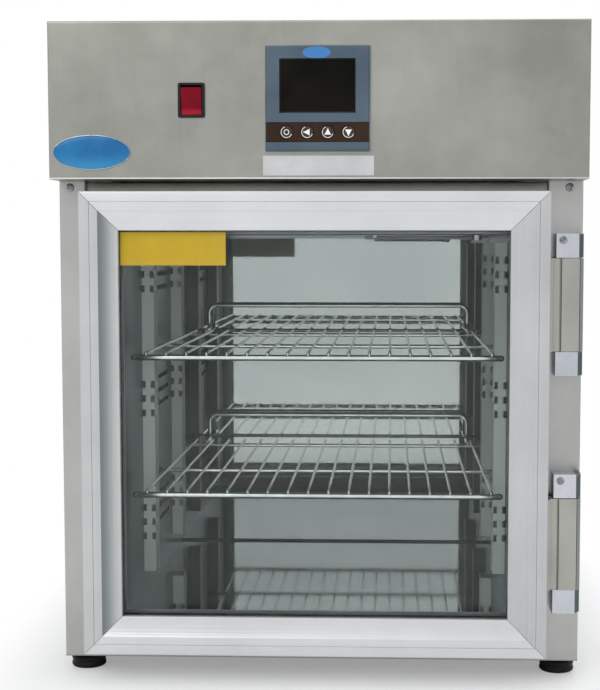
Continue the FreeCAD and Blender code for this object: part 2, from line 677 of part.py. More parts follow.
def shelf_back_stop(wire_z):
    """Bent rod behind the blankets: two feet on the rear cross rail, up, and across."""
    left = MOUTH_LEFT + STOP_MARGIN
    right = MOUTH_RIGHT - STOP_MARGIN
    foot_z = rail_z(wire_z, CROSS_RAIL_R) + CROSS_RAIL_R + STOP_R
    top_z = wire_z + STOP_HEIGHT
    front = REAR_RAIL_DEPTH - STOP_FOOT
    route = [(left, front, foot_z), (left, STOP_DEPTH, foot_z), (left, STOP_DEPTH, top_z),
             (right, STOP_DEPTH, top_z), (right, STOP_DEPTH, foot_z), (right, front, foot_z)]
    path = eased([FreeCAD.Vector(x, at_depth(d), z) for x, d, z in route], STOP_BEND, STOP_BEND_STEPS)
    ends = regular(left, foot_z, STOP_R, WIRE_SIDES)
    section = Part.makePolygon([FreeCAD.Vector(x, at_depth(front), z) for x, z in ends + ends[:1]])
    return Part.makePolygon(path).makePipeShell([section], True, False, 1)


# ---- fan and heater ------------------------------------------------------------------
def fan_blade(turn, low):
    """Swept blade in two flats, its root at the given angle round the fan."""
    middle = []
    for radius, lag in zip(BLADE_RADII, BLADE_LAGS):
        middle.append((CHAMBER_MID + radius * math.cos(turn + lag),
                       FAN_DEPTH + radius * math.sin(turn + lag)))
    sides = []
    for side in (-1, 1):
        for i, (x, depth) in enumerate(middle):
            back = middle[max(i - 1, 0)]
            ahead = middle[min(i + 1, len(middle) - 1)]
            run_x, run_d = ahead[0] - back[0], ahead[1] - back[1]
            half = side * BLADE_SHEET / 2 / math.hypot(run_x, run_d)
            sides.append((x - run_d * half, depth + run_x * half))
    return prism("xd", sides[:3] + sides[:2:-1], low, low + FAN_HEIGHT - 1)


def fan_impeller():
    """Back plate, hub, swept blades and the shaft that runs up into the motor."""
    low = BAFFLE_Z + LINER + 4
    high = low + FAN_HEIGHT
    centre = (CHAMBER_MID, FAN_DEPTH)
    plate = prism("xd", regular(*centre, FAN_R, ROUND_SIDES), high - BLADE_SHEET, high)
    hub = prism("xd", regular(*centre, FAN_HUB_R, SCREW_SIDES), low + 3, high)
    shaft = rod((*centre, low + 4), (*centre, CEILING_Z + LINER + SHAFT_REACH), SHAFT_R)
    blades = [fan_blade(2 * math.pi * i / FAN_BLADES, low) for i in range(FAN_BLADES)]
    return plate.multiFuse([hub, shaft] + blades)


def fan_motor():
    """Round motor on the liner ceiling with a bore for the shaft."""
    base = CEILING_Z + LINER
    centre = (CHAMBER_MID, FAN_DEPTH)
    body = prism("xd", regular(*centre, MOTOR_R, ROUND_SIDES), base, base + MOTOR_HEIGHT)
    bore = rod((*centre, base - 1), (*centre, base + SHAFT_REACH + 1), SHAFT_R + SHAFT_CLEAR)
    return body.cut(bore)


def heater_element():
    """Finned ring round the fan in straight lengths, hung by two legs from the liner ceiling."""
    z = BAFFLE_Z + LINER + HEATER_RISE
    half = HEATER_TUBE / 2
    rings = []
    for radius in (HEATER_RING_R - half, HEATER_RING_R + half):
        outline = regular(CHAMBER_MID, FAN_DEPTH, radius, HEATER_SIDES)
        rings.append(prism("xd", outline, z - half, z + half))
    pieces = [rings[1].cut(rings[0])]
    centre = FreeCAD.Vector(CHAMBER_MID, at_depth(FAN_DEPTH), z)
    length = 2 * HEATER_RING_R * math.tan(math.pi / HEATER_SIDES)
    for side in range(HEATER_SIDES):
        for i in range(HEATER_FINS_EACH):
            along = length * ((i + 0.5) / HEATER_FINS_EACH - 0.5)
            fin = centred(CHAMBER_MID + HEATER_RING_R, z, HEATER_FIN, HEATER_FIN,
                          FAN_DEPTH + along - HEATER_FIN_SHEET / 2, FAN_DEPTH + along + HEATER_FIN_SHEET / 2)
            fin.rotate(centre, FreeCAD.Vector(0, 0, 1), 360 * side / HEATER_SIDES)
            pieces.append(fin)
    for x, d in heater_legs():
        pieces.append(prism("xd", regular(x, d, half, 4), z, CEILING_Z + LINER))
    return pieces[0].multiFuse(pieces[1:])


def heater_legs():
    """Centres of the two legs, on the ring behind the fan."""
    places = []
    for side in (-1, 1):
        turn = math.radians(90 + side * HEATER_LEG_SPREAD)
        x = CHAMBER_MID + HEATER_RING_R * math.cos(turn)
        places.append((x, FAN_DEPTH + HEATER_RING_R * math.sin(turn)))
    return places


def temperature_probe():
    """Thin probe across the front of the baffle with its round holder and a stand at its tip."""
    z = BAFFLE_Z - PROBE_DROP
    depth = BAFFLE_FRONT + PROBE_BEHIND_EDGE
    holder_x = MOUTH_RIGHT - PROBE_HOLDER_INSET
    tip_x = holder_x - PROBE_LENGTH
    stem = prism("dz", regular(depth, z, PROBE_R, WIRE_SIDES), tip_x, holder_x + 6)
    round_face = regular(holder_x, depth, PROBE_HOLDER_R, SCREW_SIDES)
    holder = prism("xd", round_face, BAFFLE_Z - 2 * PROBE_DROP, BAFFLE_Z)
    stand = box(tip_x + 8, tip_x + 12, depth - 2, depth + 2, z, BAFFLE_Z)
    return stem.multiFuse([holder, stand])


def overheat_thermostat():
    """Disc cut-out under the liner ceiling with its cap."""
    x = CHAMBER_MID + THERMOSTAT_SIDE
    depth = FAN_DEPTH - THERMOSTAT_FRONT
    disc = prism("xd", regular(x, depth, 9.0, 16), CEILING_Z - 8, CEILING_Z)
    cap = prism("xd", regular(x, depth, 7.0, 16), CEILING_Z - 11, CEILING_Z - 8)
    return disc.fuse(cap)


# ---- head ----------------------------------------------------------------------------
def bezel_centre():
    return BEZEL_CENTRE_X, TOP_Z - BEZEL_CENTRE_DROP


def switch_centre():
    return SWITCH_X, TOP_Z - SWITCH_DROP


def centred(x, z, width, height, d0, d1):
    """Block centred on an X and a height."""
    return box(x - width / 2, x + width / 2, d0, d1, z - height / 2, z + height / 2)


def front_edges(shape, depth):
    """Edges that lie whole in the plane of one depth."""
    y = at_depth(depth)
    return [e for e in shape.Edges
            if abs(e.BoundBox.YMin - y) < 1e-6 and abs(e.BoundBox.YMax - y) < 1e-6]


def fascia_panel():
    """Folded tray: face, side and top returns, a deep fold below, and the control cut-outs."""
    outer = box(-HALF, HALF, 0, FASCIA_FLANGE, BODY_TOP, TOP_Z)
    outer = outer.makeFillet(BEND, front_edges(outer, 0))
    inner = box(-HALF + SHEET, HALF - SHEET, SHEET, FASCIA_FLANGE + 1, BODY_TOP + SHEET, TOP_Z - SHEET)
    tools = [inner]
    tools.append(box(-HALF - 1, HALF + 1, FASCIA_RETURN, FASCIA_FLANGE + 1, BODY_TOP + SHEET, TOP_Z + 1))
    for side in (-1, 1):
        x0, x1 = sorted((side * (HALF - SHEET), side * (HALF + 1)))
        tools.append(box(x0, x1, FASCIA_RETURN, FASCIA_FLANGE + 1, BODY_TOP - 1, BODY_TOP + SHEET + 1))
    x, z = bezel_centre()
    tools.append(centred(x, z, HOUSING + 0.6, HOUSING + 0.6, -1, SHEET + 1))
    x, z = switch_centre()
    tools.append(centred(x, z, SWITCH_W - 2.2, SWITCH_H - 2.2, -1, SHEET + 1))
    return cut_all(outer, tools)


def head_cover():
    face = [(HALF, BODY_TOP), (HALF, TOP_Z), (-HALF, TOP_Z), (-HALF, BODY_TOP)]
    return folded("xz", face, FASCIA_RETURN, REAR_SKIN, -SHEET)


def head_deck():
    """Floor of the head with turned-up sides and a hole for the motor."""
    side = HALF - SHEET
    lip = BODY_TOP + DECK_LIP
    face = [(-side, lip), (-side, BODY_TOP), (side, BODY_TOP), (side, lip)]
    deck = folded("xz", face, FASCIA_FLANGE, REAR_SKIN, -SHEET)
    hole = regular(CHAMBER_MID, FAN_DEPTH, MOTOR_R + 1, ROUND_SIDES)
    return deck.cut(prism("xd", hole, BODY_TOP - 2, BODY_TOP + 4))


def inlet_centre():
    return -HALF + INLET_INSET, BODY_TOP + INLET_RISE


def head_rear_panel():
    """Rear sheet of the head with two columns of pressed louvres and the inlet cut-out."""
    inset = SHEET / 2
    panel = box(-HALF + inset, HALF - inset, REAR_SKIN, DEPTH, BODY_TOP, TOP_Z - inset)
    hoods = []
    tools = []
    for x0 in LOUVRE_LEFT_ENDS:
        for i in range(LOUVRE_COUNT):
            z = BODY_TOP + LOUVRE_RISE + i * LOUVRE_PITCH
            out = DEPTH + LOUVRE_PROUD
            section = [(REAR_SKIN, z + 11), (DEPTH, z + 11), (out, z + 3), (out, z),
                       (out - SHEET, z), (out - SHEET, z + 2.5), (REAR_SKIN, z + 9)]
            hoods.append(prism("dz", section, x0, x0 + LOUVRE_LENGTH))
            tools.append(box(x0 + 1, x0 + LOUVRE_LENGTH - 1, REAR_SKIN - 1, DEPTH + 1, z, z + 8))
    x, z = inlet_centre()
    tools.append(centred(x, z, INLET_W + 0.4, INLET_H + 0.4, REAR_SKIN - 1, DEPTH + 1))
    return cut_all(panel, tools).multiFuse(hoods)


def power_inlet():
    """Three-pin appliance inlet: flange, body, socket and its pins."""
    x, z = inlet_centre()
    flange = centred(x, z, INLET_W + 4, INLET_H + 4, DEPTH, DEPTH + 2.0)
    body = centred(x, z, INLET_W, INLET_H, DEPTH - INLET_DEEP, DEPTH + 1)
    socket = centred(x, z, INLET_W - 4, INLET_H - 4, DEPTH - 18, DEPTH + 3)
    pins = [centred(x + dx, z + dz, 2.0, 4.0, DEPTH - 20, DEPTH - 6)
            for dx, dz in ((-7.0, -1.0), (0.0, 2.0), (7.0, -1.0))]
    return flange.fuse(body).cut(socket).multiFuse(pins)


def controller_bezel():
    """Square bezel with a screen pocket, a recessed key band and four key wells."""
    x, z = bezel_centre()
    bezel = centred(x, z, BEZEL, BEZEL, -BEZEL_PROUD, 0)
    bezel = bezel.makeChamfer(1.6, front_edges(bezel, -BEZEL_PROUD))
    tools = [centred(x, z + SCREEN_RISE, SCREEN_W, SCREEN_H, -BEZEL_PROUD - 1, -BEZEL_PROUD + 1.6)]
    tools.append(centred(x, z - KEY_DROP, BEZEL + 2, BAND_H, -BEZEL_PROUD - 1, -BEZEL_PROUD + BAND_DEEP))
    for _, key_x in key_places():
        well = regular(key_x, z - KEY_DROP, KEY_R + KEY_CLEAR, ROUND_SIDES)
        tools.append(prism("xz", well, -BEZEL_PROUD - 1, -KEY_WELL_FLOOR))
    return cut_all(bezel, tools)


def controller_screen():
    x, z = bezel_centre()
    return centred(x, z + SCREEN_RISE, SCREEN_W, SCREEN_H, -BEZEL_PROUD + 0.5, -BEZEL_PROUD + 1.6)


def controller_housing():
    """Instrument body behind the fascia with its side clamps."""
    x, z = bezel_centre()
    body = centred(x, z, HOUSING, HOUSING, 0, HOUSING_DEPTH)
    body = body.makeChamfer(3.0, front_edges(body, HOUSING_DEPTH))
    clamps = []
    for side in (-1, 1):
        clamps.append(centred(x + side * (HOUSING + CLAMP_WIDTH) / 2, z, CLAMP_WIDTH, CLAMP_HEIGHT,
                              SHEET, CLAMP_LENGTH))
    return body.multiFuse(clamps)


def key_places():
    x, _ = bezel_centre()
    names = ("set", "left", "up", "down")
    return [(name, x + (i - 1.5) * KEY_PITCH) for i, name in enumerate(names)]


def controller_key(key_x):
    """Round key that travels towards the panel."""
    _, z = bezel_centre()
    front = -BEZEL_PROUD + BAND_DEEP - KEY_PROUD
    back = -KEY_WELL_FLOOR - KEY_STOP_CLEAR - KEY_TRAVEL
    return prism("xz", regular(key_x, z - KEY_DROP, KEY_R, ROUND_SIDES), front, back)


def switch_housing():
    """Snap-in switch frame and body with the well that the rocker tips in."""
    x, z = switch_centre()
    frame = centred(x, z, SWITCH_W, SWITCH_H, -SWITCH_FRAME, 0)
    corners = [e for e in frame.Edges if abs(e.BoundBox.YLength - SWITCH_FRAME) < 1e-6]
    frame = frame.makeChamfer(2.0, corners)
    body = centred(x, z, SWITCH_W - 2.6, SWITCH_H - 2.6, -SWITCH_FRAME / 2, SWITCH_BODY_DEPTH)
    well_w = ROCKER_W + 2 * ROCKER_CLEAR
    well = centred(x, z, well_w, SWITCH_H - 3.6, -SWITCH_FRAME - 1, PIVOT_DEPTH + 9)
    trunnions = []
    for side in (-1, 1):
        face = x + side * (well_w / 2 + 0.5)
        trunnions.append(rod((face, PIVOT_DEPTH, z), (face - side * 2.5, PIVOT_DEPTH, z), 1.5))
    return frame.fuse(body).cut(well).multiFuse(trunnions)


def switch_rocker():
    """Red rocker with a hollowed face, tipped to its lower stop about two trunnions."""
    x, z = switch_centre()
    half = ROCKER_H / 2
    tip = -SWITCH_FRAME - 1.0
    section = [
        (tip, z + half), (tip + 1.3, z), (tip, z - half),
        (PIVOT_DEPTH, z - half + 1.5), (PIVOT_DEPTH + 4, z - 4), (PIVOT_DEPTH + 4, z + 4),
        (PIVOT_DEPTH, z + half - 1.5),
    ]
    body = prism("dz", section, x - ROCKER_W / 2, x + ROCKER_W / 2)
    bore = rod((x - ROCKER_W, PIVOT_DEPTH, z), (x + ROCKER_W, PIVOT_DEPTH, z), 1.5 + PIN_RUNNING)
    core = rod((x - ROCKER_W / 2 + 2.5, PIVOT_DEPTH, z), (x + ROCKER_W / 2 - 2.5, PIVOT_DEPTH, z), 2.4)
    rocker = body.cut(bore).fuse(core)
    pivot = FreeCAD.Vector(x, at_depth(PIVOT_DEPTH), z)
    return rocker.rotate(pivot, FreeCAD.Vector(1, 0, 0), ROCKER_TILT)


def terminal_block():
    """Screw terminals on the head deck."""
    base = BODY_TOP + SHEET
    width = TERMINAL_WAYS * TERMINAL_PITCH
    block = box(TERMINAL_X, TERMINAL_X + width, TERMINAL_DEPTH, TERMINAL_DEPTH + 22, base, base + 16)
    tools = []
    for i in range(TERMINAL_WAYS):
        spot = (TERMINAL_X + (i + 0.5) * TERMINAL_PITCH, TERMINAL_DEPTH + 11)
        tools.append(prism("xd", regular(*spot, 4.0, 8), base + 8, base + 20))
    return cut_all(block, tools)


# ---- feet ----------------------------------------------------------------------------
def levelling_foot(x, depth):
    """Round pad with a softened rim, a hexagon nut and the threaded stem."""
    pad = prism("xd", regular(x, depth, FOOT_R, ROUND_SIDES), 0, FOOT_PAD)
    pad = pad.makeChamfer(FOOT_EDGE, [e for e in pad.Edges if e.BoundBox.ZLength < 1e-6])
    nut = prism("xd", regular(x, depth, FOOT_NUT, 6), FOOT_PAD - 1, FOOT_HEIGHT)
    stem = rod((x, depth, FOOT_PAD - 2), (x, depth, BASE_Z + STEM_REACH), STEM_R)
    return pad.multiFuse([nut, stem])


# ---- door ----------------------------------------------------------------------------
def frame_section():
    """Door extrusion as (inset from the door's edge, depth) with its corner radii."""
    face = FRAME_FACE
    pocket = face - GLASS_BITE - PANE_EDGE_CLEAR
    lip = GLASS_SETBACK - PANE_SEAT
    rear = GLASS_SETBACK + 2 * PANE + PANE_SPACE + PANE_SEAT
    return [
        ((0, 0), 1.2), ((GROOVE_INSET, 0), 0), ((GROOVE_INSET + 0.5, 0.8), 0), ((GROOVE_INSET + 1.0, 0), 0),
        ((BEVEL_INSET, 0), 0), ((BEVEL_INSET + 0.8, 1.4), 0), ((face - 1.5, 3.0), 0.8), ((face, 4.4), 0),
        ((face, lip), 0), ((pocket, lip), 0), ((pocket, rear), 0), ((face - 1.5, rear), 0),
        ((face - 1.5, rear + 2), 0), ((face - 8, DOOR_THICKNESS), 0),
        ((0, DOOR_THICKNESS), 0),
    ]


def key_section(clear):
    """Chamber of the extrusion, or the key inside it when clear is above zero."""
    pocket = FRAME_FACE - GLASS_BITE - PANE_EDGE_CLEAR
    return [
        (FRAME_WALL + clear, FRAME_WALL + 0.8 + clear),
        (pocket - FRAME_WALL - clear, FRAME_WALL + 0.8 + clear),
        (pocket - FRAME_WALL - clear, DOOR_THICKNESS - FRAME_WALL - 0.8 - clear),
        (FRAME_WALL + clear, DOOR_THICKNESS - FRAME_WALL - 0.8 - clear),
    ]


def along_side(section, side, radii, reach=0.0):
    """Extrude a section along one side of the door; reach shortens both ends."""
    if side in ("left", "right"):
        edge = DOOR_LEFT if side == "left" else DOOR_RIGHT
        sign = 1 if side == "left" else -1
        points = [(edge + sign * w, d) for w, d in section]
        return prism("xd", points, DOOR_BOTTOM + reach, DOOR_TOP - reach, radii)
    edge = DOOR_BOTTOM if side == "bottom" else DOOR_TOP
    sign = 1 if side == "bottom" else -1
    points = [(d, edge + sign * w) for w, d in section]
    return prism("dz", points, DOOR_LEFT + reach, DOOR_RIGHT - reach, radii)


def mitre_zone(side, gap, depth0, depth1):
    """Trapezoid that one side of the door keeps between its two mitres."""
    g = gap * math.sqrt(2)
    wide = FRAME_FACE + 4
    left, right, low, high = DOOR_LEFT, DOOR_RIGHT, DOOR_BOTTOM, DOOR_TOP
    zones = {
        "left": [(left, low + g), (left + wide, low + wide + g),
                 (left + wide, high - wide - g), (left, high - g)],
        "right": [(right, low + g), (right, high - g),
                  (right - wide, high - wide - g), (right - wide, low + wide + g)],
        "bottom": [(left + g, low), (right - g, low),
                   (right - wide - g, low + wide), (left + wide + g, low + wide)],
        "top": [(left + g, high), (left + wide + g, high - wide),
                (right - wide - g, high - wide), (right - g, high)],
    }
    return prism("xz", zones[side], depth0, depth1)


def door_rail(side):
    """One mitred length of the door extrusion with its hollow chamber."""
    outline = frame_section()
    section = [point for point, _ in outline]
    radii = [radius for _, radius in outline]
    solid = along_side(section, side, radii)
    chamber = along_side(key_section(0.0), side, 0.0)
    zone = mitre_zone(side, MITRE_GAP, -1, DOOR_THICKNESS + 1)
    return solid.cut(chamber).common(zone)


def door_corner_keys():
    """L-shaped keys that join the extrusions inside their chambers."""
    keys = []
    for end_x in ("left", "right"):
        for end_z in ("bottom", "top"):
            inset = FRAME_WALL + FOAM_GAP
            upright = along_side(key_section(FOAM_GAP), end_x, 0.0, inset)
            level = along_side(key_section(FOAM_GAP), end_z, 0.0, inset)
            x_edge = DOOR_LEFT if end_x == "left" else DOOR_RIGHT
            z_edge = DOOR_BOTTOM if end_z == "bottom" else DOOR_TOP
            corner = centred(x_edge, z_edge, 2 * KEY_LEG, 2 * KEY_LEG, 0, DOOR_THICKNESS)
            keys.append(upright.fuse(level).common(corner).removeSplitter())
    return group(keys)


def pane_block(inset, d0, d1):
    """Flat block over the glass opening, its edge the given distance inside the door's."""
    return box(DOOR_LEFT + inset, DOOR_RIGHT - inset, d0, d1, DOOR_BOTTOM + inset, DOOR_TOP - inset)


def glazing():
    """Outer pane, inner pane and the spacer ring between them."""
    inset = FRAME_FACE - GLASS_BITE
    front = GLASS_SETBACK
    back = front + PANE + PANE_SPACE
    outer = pane_block(inset, front, front + PANE)
    inner = pane_block(inset, back, back + PANE)
    ring = pane_block(inset + 1, front + PANE, back)
    hole = pane_block(inset + 1 + SPACER_WIDTH, front + PANE - 1, back + 1)
    return outer, inner, ring.cut(hole)


def door_gasket():
    """Bellows seal on the back of the door, mitred at its corners."""
    a = GASKET_INSET
    b = a + GASKET_WIDTH
    lip = SEAL_DEPTH - GASKET_CLEAR
    back = DOOR_THICKNESS
    section = [(a + 2.5, back), (a + 1, back + 2.5), (a + 1.8, back + 5), (a, lip),
               (b, lip), (b - 1.8, back + 5), (b - 1, back + 2.5), (b - 2.5, back)]
    sides = [along_side(section, side, 0.0).common(mitre_zone(side, 0.0, back - 1, lip + 1))
             for side in SIDES]
    return fuse(sides)


# ---- hinges --------------------------------------------------------------------------
def hinge_heights(top_rise):
    """Bottom and top of the bracket, then bottom and top of the barrel."""
    top = BASE_Z + top_rise
    barrel_top = top - HINGE_BLOCK - HINGE_CLEAR
    barrel_low = barrel_top - HINGE_BARREL
    return barrel_low - HINGE_CLEAR - HINGE_BLOCK, top, barrel_low, barrel_top


def hinge_bracket(top_rise):
    """Two bevelled blocks on a common plate, bored for the pin."""
    low, top, barrel_low, barrel_top = hinge_heights(top_rise)
    left = HALF - BLOCK_LEFT
    right = HALF - BLOCK_RIGHT
    edge = HALF - BRACKET_EDGE
    section = [(left, BLOCK_FRONT), (right, BLOCK_FRONT), (edge - 0.6, BLOCK_FRONT + BEVEL_BACK),
               (edge, STILE_SETBACK), (left, STILE_SETBACK)]
    radii = [1.0, 0.6, 0.0, 0.0, 0.0]
    upper = prism("xd", section, barrel_top + HINGE_CLEAR, top, radii)
    lower = prism("xd", section, low, barrel_low - HINGE_CLEAR, radii)
    plate = box(left - 2.0, edge, STILE_SETBACK - BRACKET_PLATE, STILE_SETBACK, low, top)
    bracket = fuse([plate, upper, lower])
    bore = rod((HINGE_X, HINGE_AXIS_DEPTH, low + PIN_LOW), (HINGE_X, HINGE_AXIS_DEPTH, top - PIN_TOP),
               HINGE_PIN_R + PIN_SEAT)
    return bracket.cut(bore)


def hinge_pin(top_rise):
    low, top, _, _ = hinge_heights(top_rise)
    return rod((HINGE_X, HINGE_AXIS_DEPTH, low + PIN_LOW),
               (HINGE_X, HINGE_AXIS_DEPTH, top - PIN_TOP), HINGE_PIN_R)


def hinge_leaf(top_rise):
    """Barrel with a grooved crowned face and the plate on the door's side."""
    _, _, low, top = hinge_heights(top_rise)
    left = DOOR_RIGHT + LEAF_PLATE
    right = HALF - BARREL_RIGHT
    groove = HALF - BARREL_GROOVE
    front = BARREL_FRONT
    section = [(left, front + 0.7), (groove - 0.6, front + 0.2), (groove - 0.6, front + 2.2),
               (groove + 0.6, front + 2.2), (groove + 0.6, front), (right - 5, front),
               (right, front + 5), (right, BARREL_BACK), (left, BARREL_BACK)]
    barrel = prism("xd", section, low, top, [0.8, 0, 0, 0, 0, 4.0, 4.0, 4.0, 0])
    plate = box(DOOR_RIGHT, left, HINGE_AXIS_DEPTH - LEAF_DEPTH / 2, HINGE_AXIS_DEPTH + LEAF_DEPTH / 2,
                low, top)
    bore = rod((HINGE_X, HINGE_AXIS_DEPTH, low - 1), (HINGE_X, HINGE_AXIS_DEPTH, top + 1),
               HINGE_PIN_R + PIN_RUNNING)
    return fuse([barrel, plate]).cut(bore)


# ---- the whole cabinet ---------------------------------------------------------------
def build():
    """Every node of the cabinet by name."""
    upper_z = BASE_Z + UPPER_SHELF_RISE
    lower_z = BASE_Z + LOWER_SHELF_RISE
    outer_glass, inner_glass, glazing_spacer = glazing()
    parts = {
        "left_side_panel": side_panel(-1),
        "right_side_panel": side_panel(1),
        "back_panel": back_panel(),
        "base_pan": base_pan(),
        "bottom_sill": bottom_sill(),
        "header_rail": header_rail(),
        "insulation_foam": insulation_foam(),
        "liner_back": liner_back(),
        "liner_floor": liner_floor(),
        "liner_ceiling": liner_ceiling(),
        "duct_backplates": duct_backplates(),
        "left_vent_panel": vent_panel(-1),
        "right_vent_panel": vent_panel(1),
        "ceiling_baffle": ceiling_baffle(),
        "shelf_uprights": shelf_uprights(),
        "upper_shelf_clips": shelf_clips(upper_z),
        "lower_shelf_clips": shelf_clips(lower_z),
        "heater_element": heater_element(),
        "fan_motor": fan_motor(),
        "fan_impeller": fan_impeller(),
        "temperature_probe": temperature_probe(),
        "overheat_thermostat": overheat_thermostat(),
        "head_deck": head_deck(),
        "head_cover": head_cover(),
        "fascia_panel": fascia_panel(),
        "head_rear_panel": head_rear_panel(),
        "controller_housing": controller_housing(),
        "controller_bezel": controller_bezel(),
        "controller_screen": controller_screen(),
        "switch_housing": switch_housing(),
        "switch_rocker": switch_rocker(),
        "power_inlet": power_inlet(),
        "terminal_block": terminal_block(),
        "cabinet_screws": cabinet_screws(),
        "upper_hinge_bracket": hinge_bracket(UPPER_HINGE_TOP),
        "lower_hinge_bracket": hinge_bracket(LOWER_HINGE_TOP),
        "hinge_pins": group([hinge_pin(UPPER_HINGE_TOP), hinge_pin(LOWER_HINGE_TOP)]),
        "upper_hinge_leaf": hinge_leaf(UPPER_HINGE_TOP),
        "lower_hinge_leaf": hinge_leaf(LOWER_HINGE_TOP),
        "door_corner_keys": door_corner_keys(),
        "outer_glass": outer_glass,
        "inner_glass": inner_glass,
        "glazing_spacer": glazing_spacer,
        "door_gasket": door_gasket(),
        "upper_shelf_grid": shelf_grid(upper_z),
        "upper_shelf_back_stop": shelf_back_stop(upper_z),
        "lower_shelf_grid": shelf_grid(lower_z),
        "lower_shelf_back_stop": shelf_back_stop(lower_z),
    }
    for name, key_x in key_places():
        parts["key_" + name] = controller_key(key_x)
    for side in SIDES:
        parts["door_rail_" + side] = door_rail(side)
    for name, x, depth in foot_places():
        parts["foot_" + name] = levelling_foot(x, depth)
    return parts


os.makedirs("parts", exist_ok=True)
for node, shape in build().items():
    shape.exportStep("parts/" + node + ".step")
    print("%-24s solids %3d valid %s volume %.1f cm3" % (node, len(shape.Solids), shape.isValid(),
                                                       shape.Volume / 1000))
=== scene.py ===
import json
import math

import bpy
import numpy as np
from mathutils import Matrix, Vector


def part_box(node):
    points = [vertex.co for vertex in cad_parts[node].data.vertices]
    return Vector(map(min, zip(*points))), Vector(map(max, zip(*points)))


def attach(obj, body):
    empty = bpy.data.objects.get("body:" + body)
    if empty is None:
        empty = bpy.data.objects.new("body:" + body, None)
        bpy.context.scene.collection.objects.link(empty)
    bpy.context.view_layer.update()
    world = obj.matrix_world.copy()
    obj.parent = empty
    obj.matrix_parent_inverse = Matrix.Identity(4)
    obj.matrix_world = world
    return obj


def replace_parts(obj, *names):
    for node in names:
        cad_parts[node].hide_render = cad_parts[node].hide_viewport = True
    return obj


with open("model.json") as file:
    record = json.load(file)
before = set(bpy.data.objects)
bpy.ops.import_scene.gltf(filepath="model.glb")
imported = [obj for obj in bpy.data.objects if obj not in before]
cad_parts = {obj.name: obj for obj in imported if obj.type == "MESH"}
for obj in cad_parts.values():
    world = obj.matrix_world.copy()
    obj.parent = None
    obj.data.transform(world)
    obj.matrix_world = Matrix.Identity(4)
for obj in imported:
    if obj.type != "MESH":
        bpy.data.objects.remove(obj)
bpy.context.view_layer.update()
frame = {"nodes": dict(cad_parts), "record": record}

# Blanket warming cabinet: finishes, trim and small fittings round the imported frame.
# Metres, +Z up, the door faces -Y, +X to the right.

nodes = frame["nodes"]
MM = 0.001
FASCIA_Y = -264.5 * MM          # face of the head's front sheet


def deep(depth):
    """Y of a depth in millimetres behind the fascia face."""
    return FASCIA_Y + depth * MM


# ---- viewpoint ------------------------------------------------------------------------
def stand(holder, place, right, up, ahead):
    """Links a camera or lamp at a place, turned to look ahead."""
    matrix = np.eye(4)
    matrix[:3, 0], matrix[:3, 1], matrix[:3, 2], matrix[:3, 3] = right, up, -ahead, place
    holder.matrix_world = Matrix(matrix)
    bpy.context.scene.collection.objects.link(holder)


CAMERA_TURN = (1.994, 4.419, 0.024)             # yaw, pitch and roll in degrees
CAMERA_PLACE = (0.0685, FASCIA_Y - 1.3173, 0.41835)
LENS_LENGTH, SENSOR_WIDTH = 74.03, 36.0         # millimetres
LENS_SHIFT = (-0.0608, 0.0139)                  # shares of the sensor's width
FAR_CLIP = 50.0


def add_camera():
    """Long lens a little right of the middle, looking slightly left and down at the front."""
    yaw, pitch, roll = (math.radians(a) for a in CAMERA_TURN)
    ahead = np.array([-math.sin(yaw) * math.cos(pitch), math.cos(yaw) * math.cos(pitch), -math.sin(pitch)])
    right = np.array([math.cos(yaw), math.sin(yaw), 0.0])
    up = np.cross(right, ahead)
    right, up = (right * math.cos(roll) + up * math.sin(roll), up * math.cos(roll) - right * math.sin(roll))
    lens = bpy.data.cameras.new("viewpoint")
    lens.lens = LENS_LENGTH
    lens.sensor_width = SENSOR_WIDTH
    lens.shift_x, lens.shift_y = LENS_SHIFT
    lens.clip_end = FAR_CLIP
    camera = bpy.data.objects.new("viewpoint", lens)
    stand(camera, CAMERA_PLACE, right, up, ahead)
    bpy.context.scene.camera = camera


# ---- shader writing -------------------------------------------------------------------
class Field:
    """One output of a node.  Arithmetic written on it adds Math nodes."""

    def __init__(self, finish, socket):
        self.finish = finish
        self.socket = socket

    def __add__(self, other):
        return self.finish.math("ADD", self, other)

    def __radd__(self, other):
        return self.finish.math("ADD", other, self)

    def __sub__(self, other):
        return self.finish.math("SUBTRACT", self, other)

    def __rsub__(self, other):
        return self.finish.math("SUBTRACT", other, self)

    def __mul__(self, other):
        return self.finish.math("MULTIPLY", self, other)

    def __truediv__(self, other):
        return self.finish.math("DIVIDE", self, other)

    def __pow__(self, other):
        return self.finish.math("POWER", self, other)


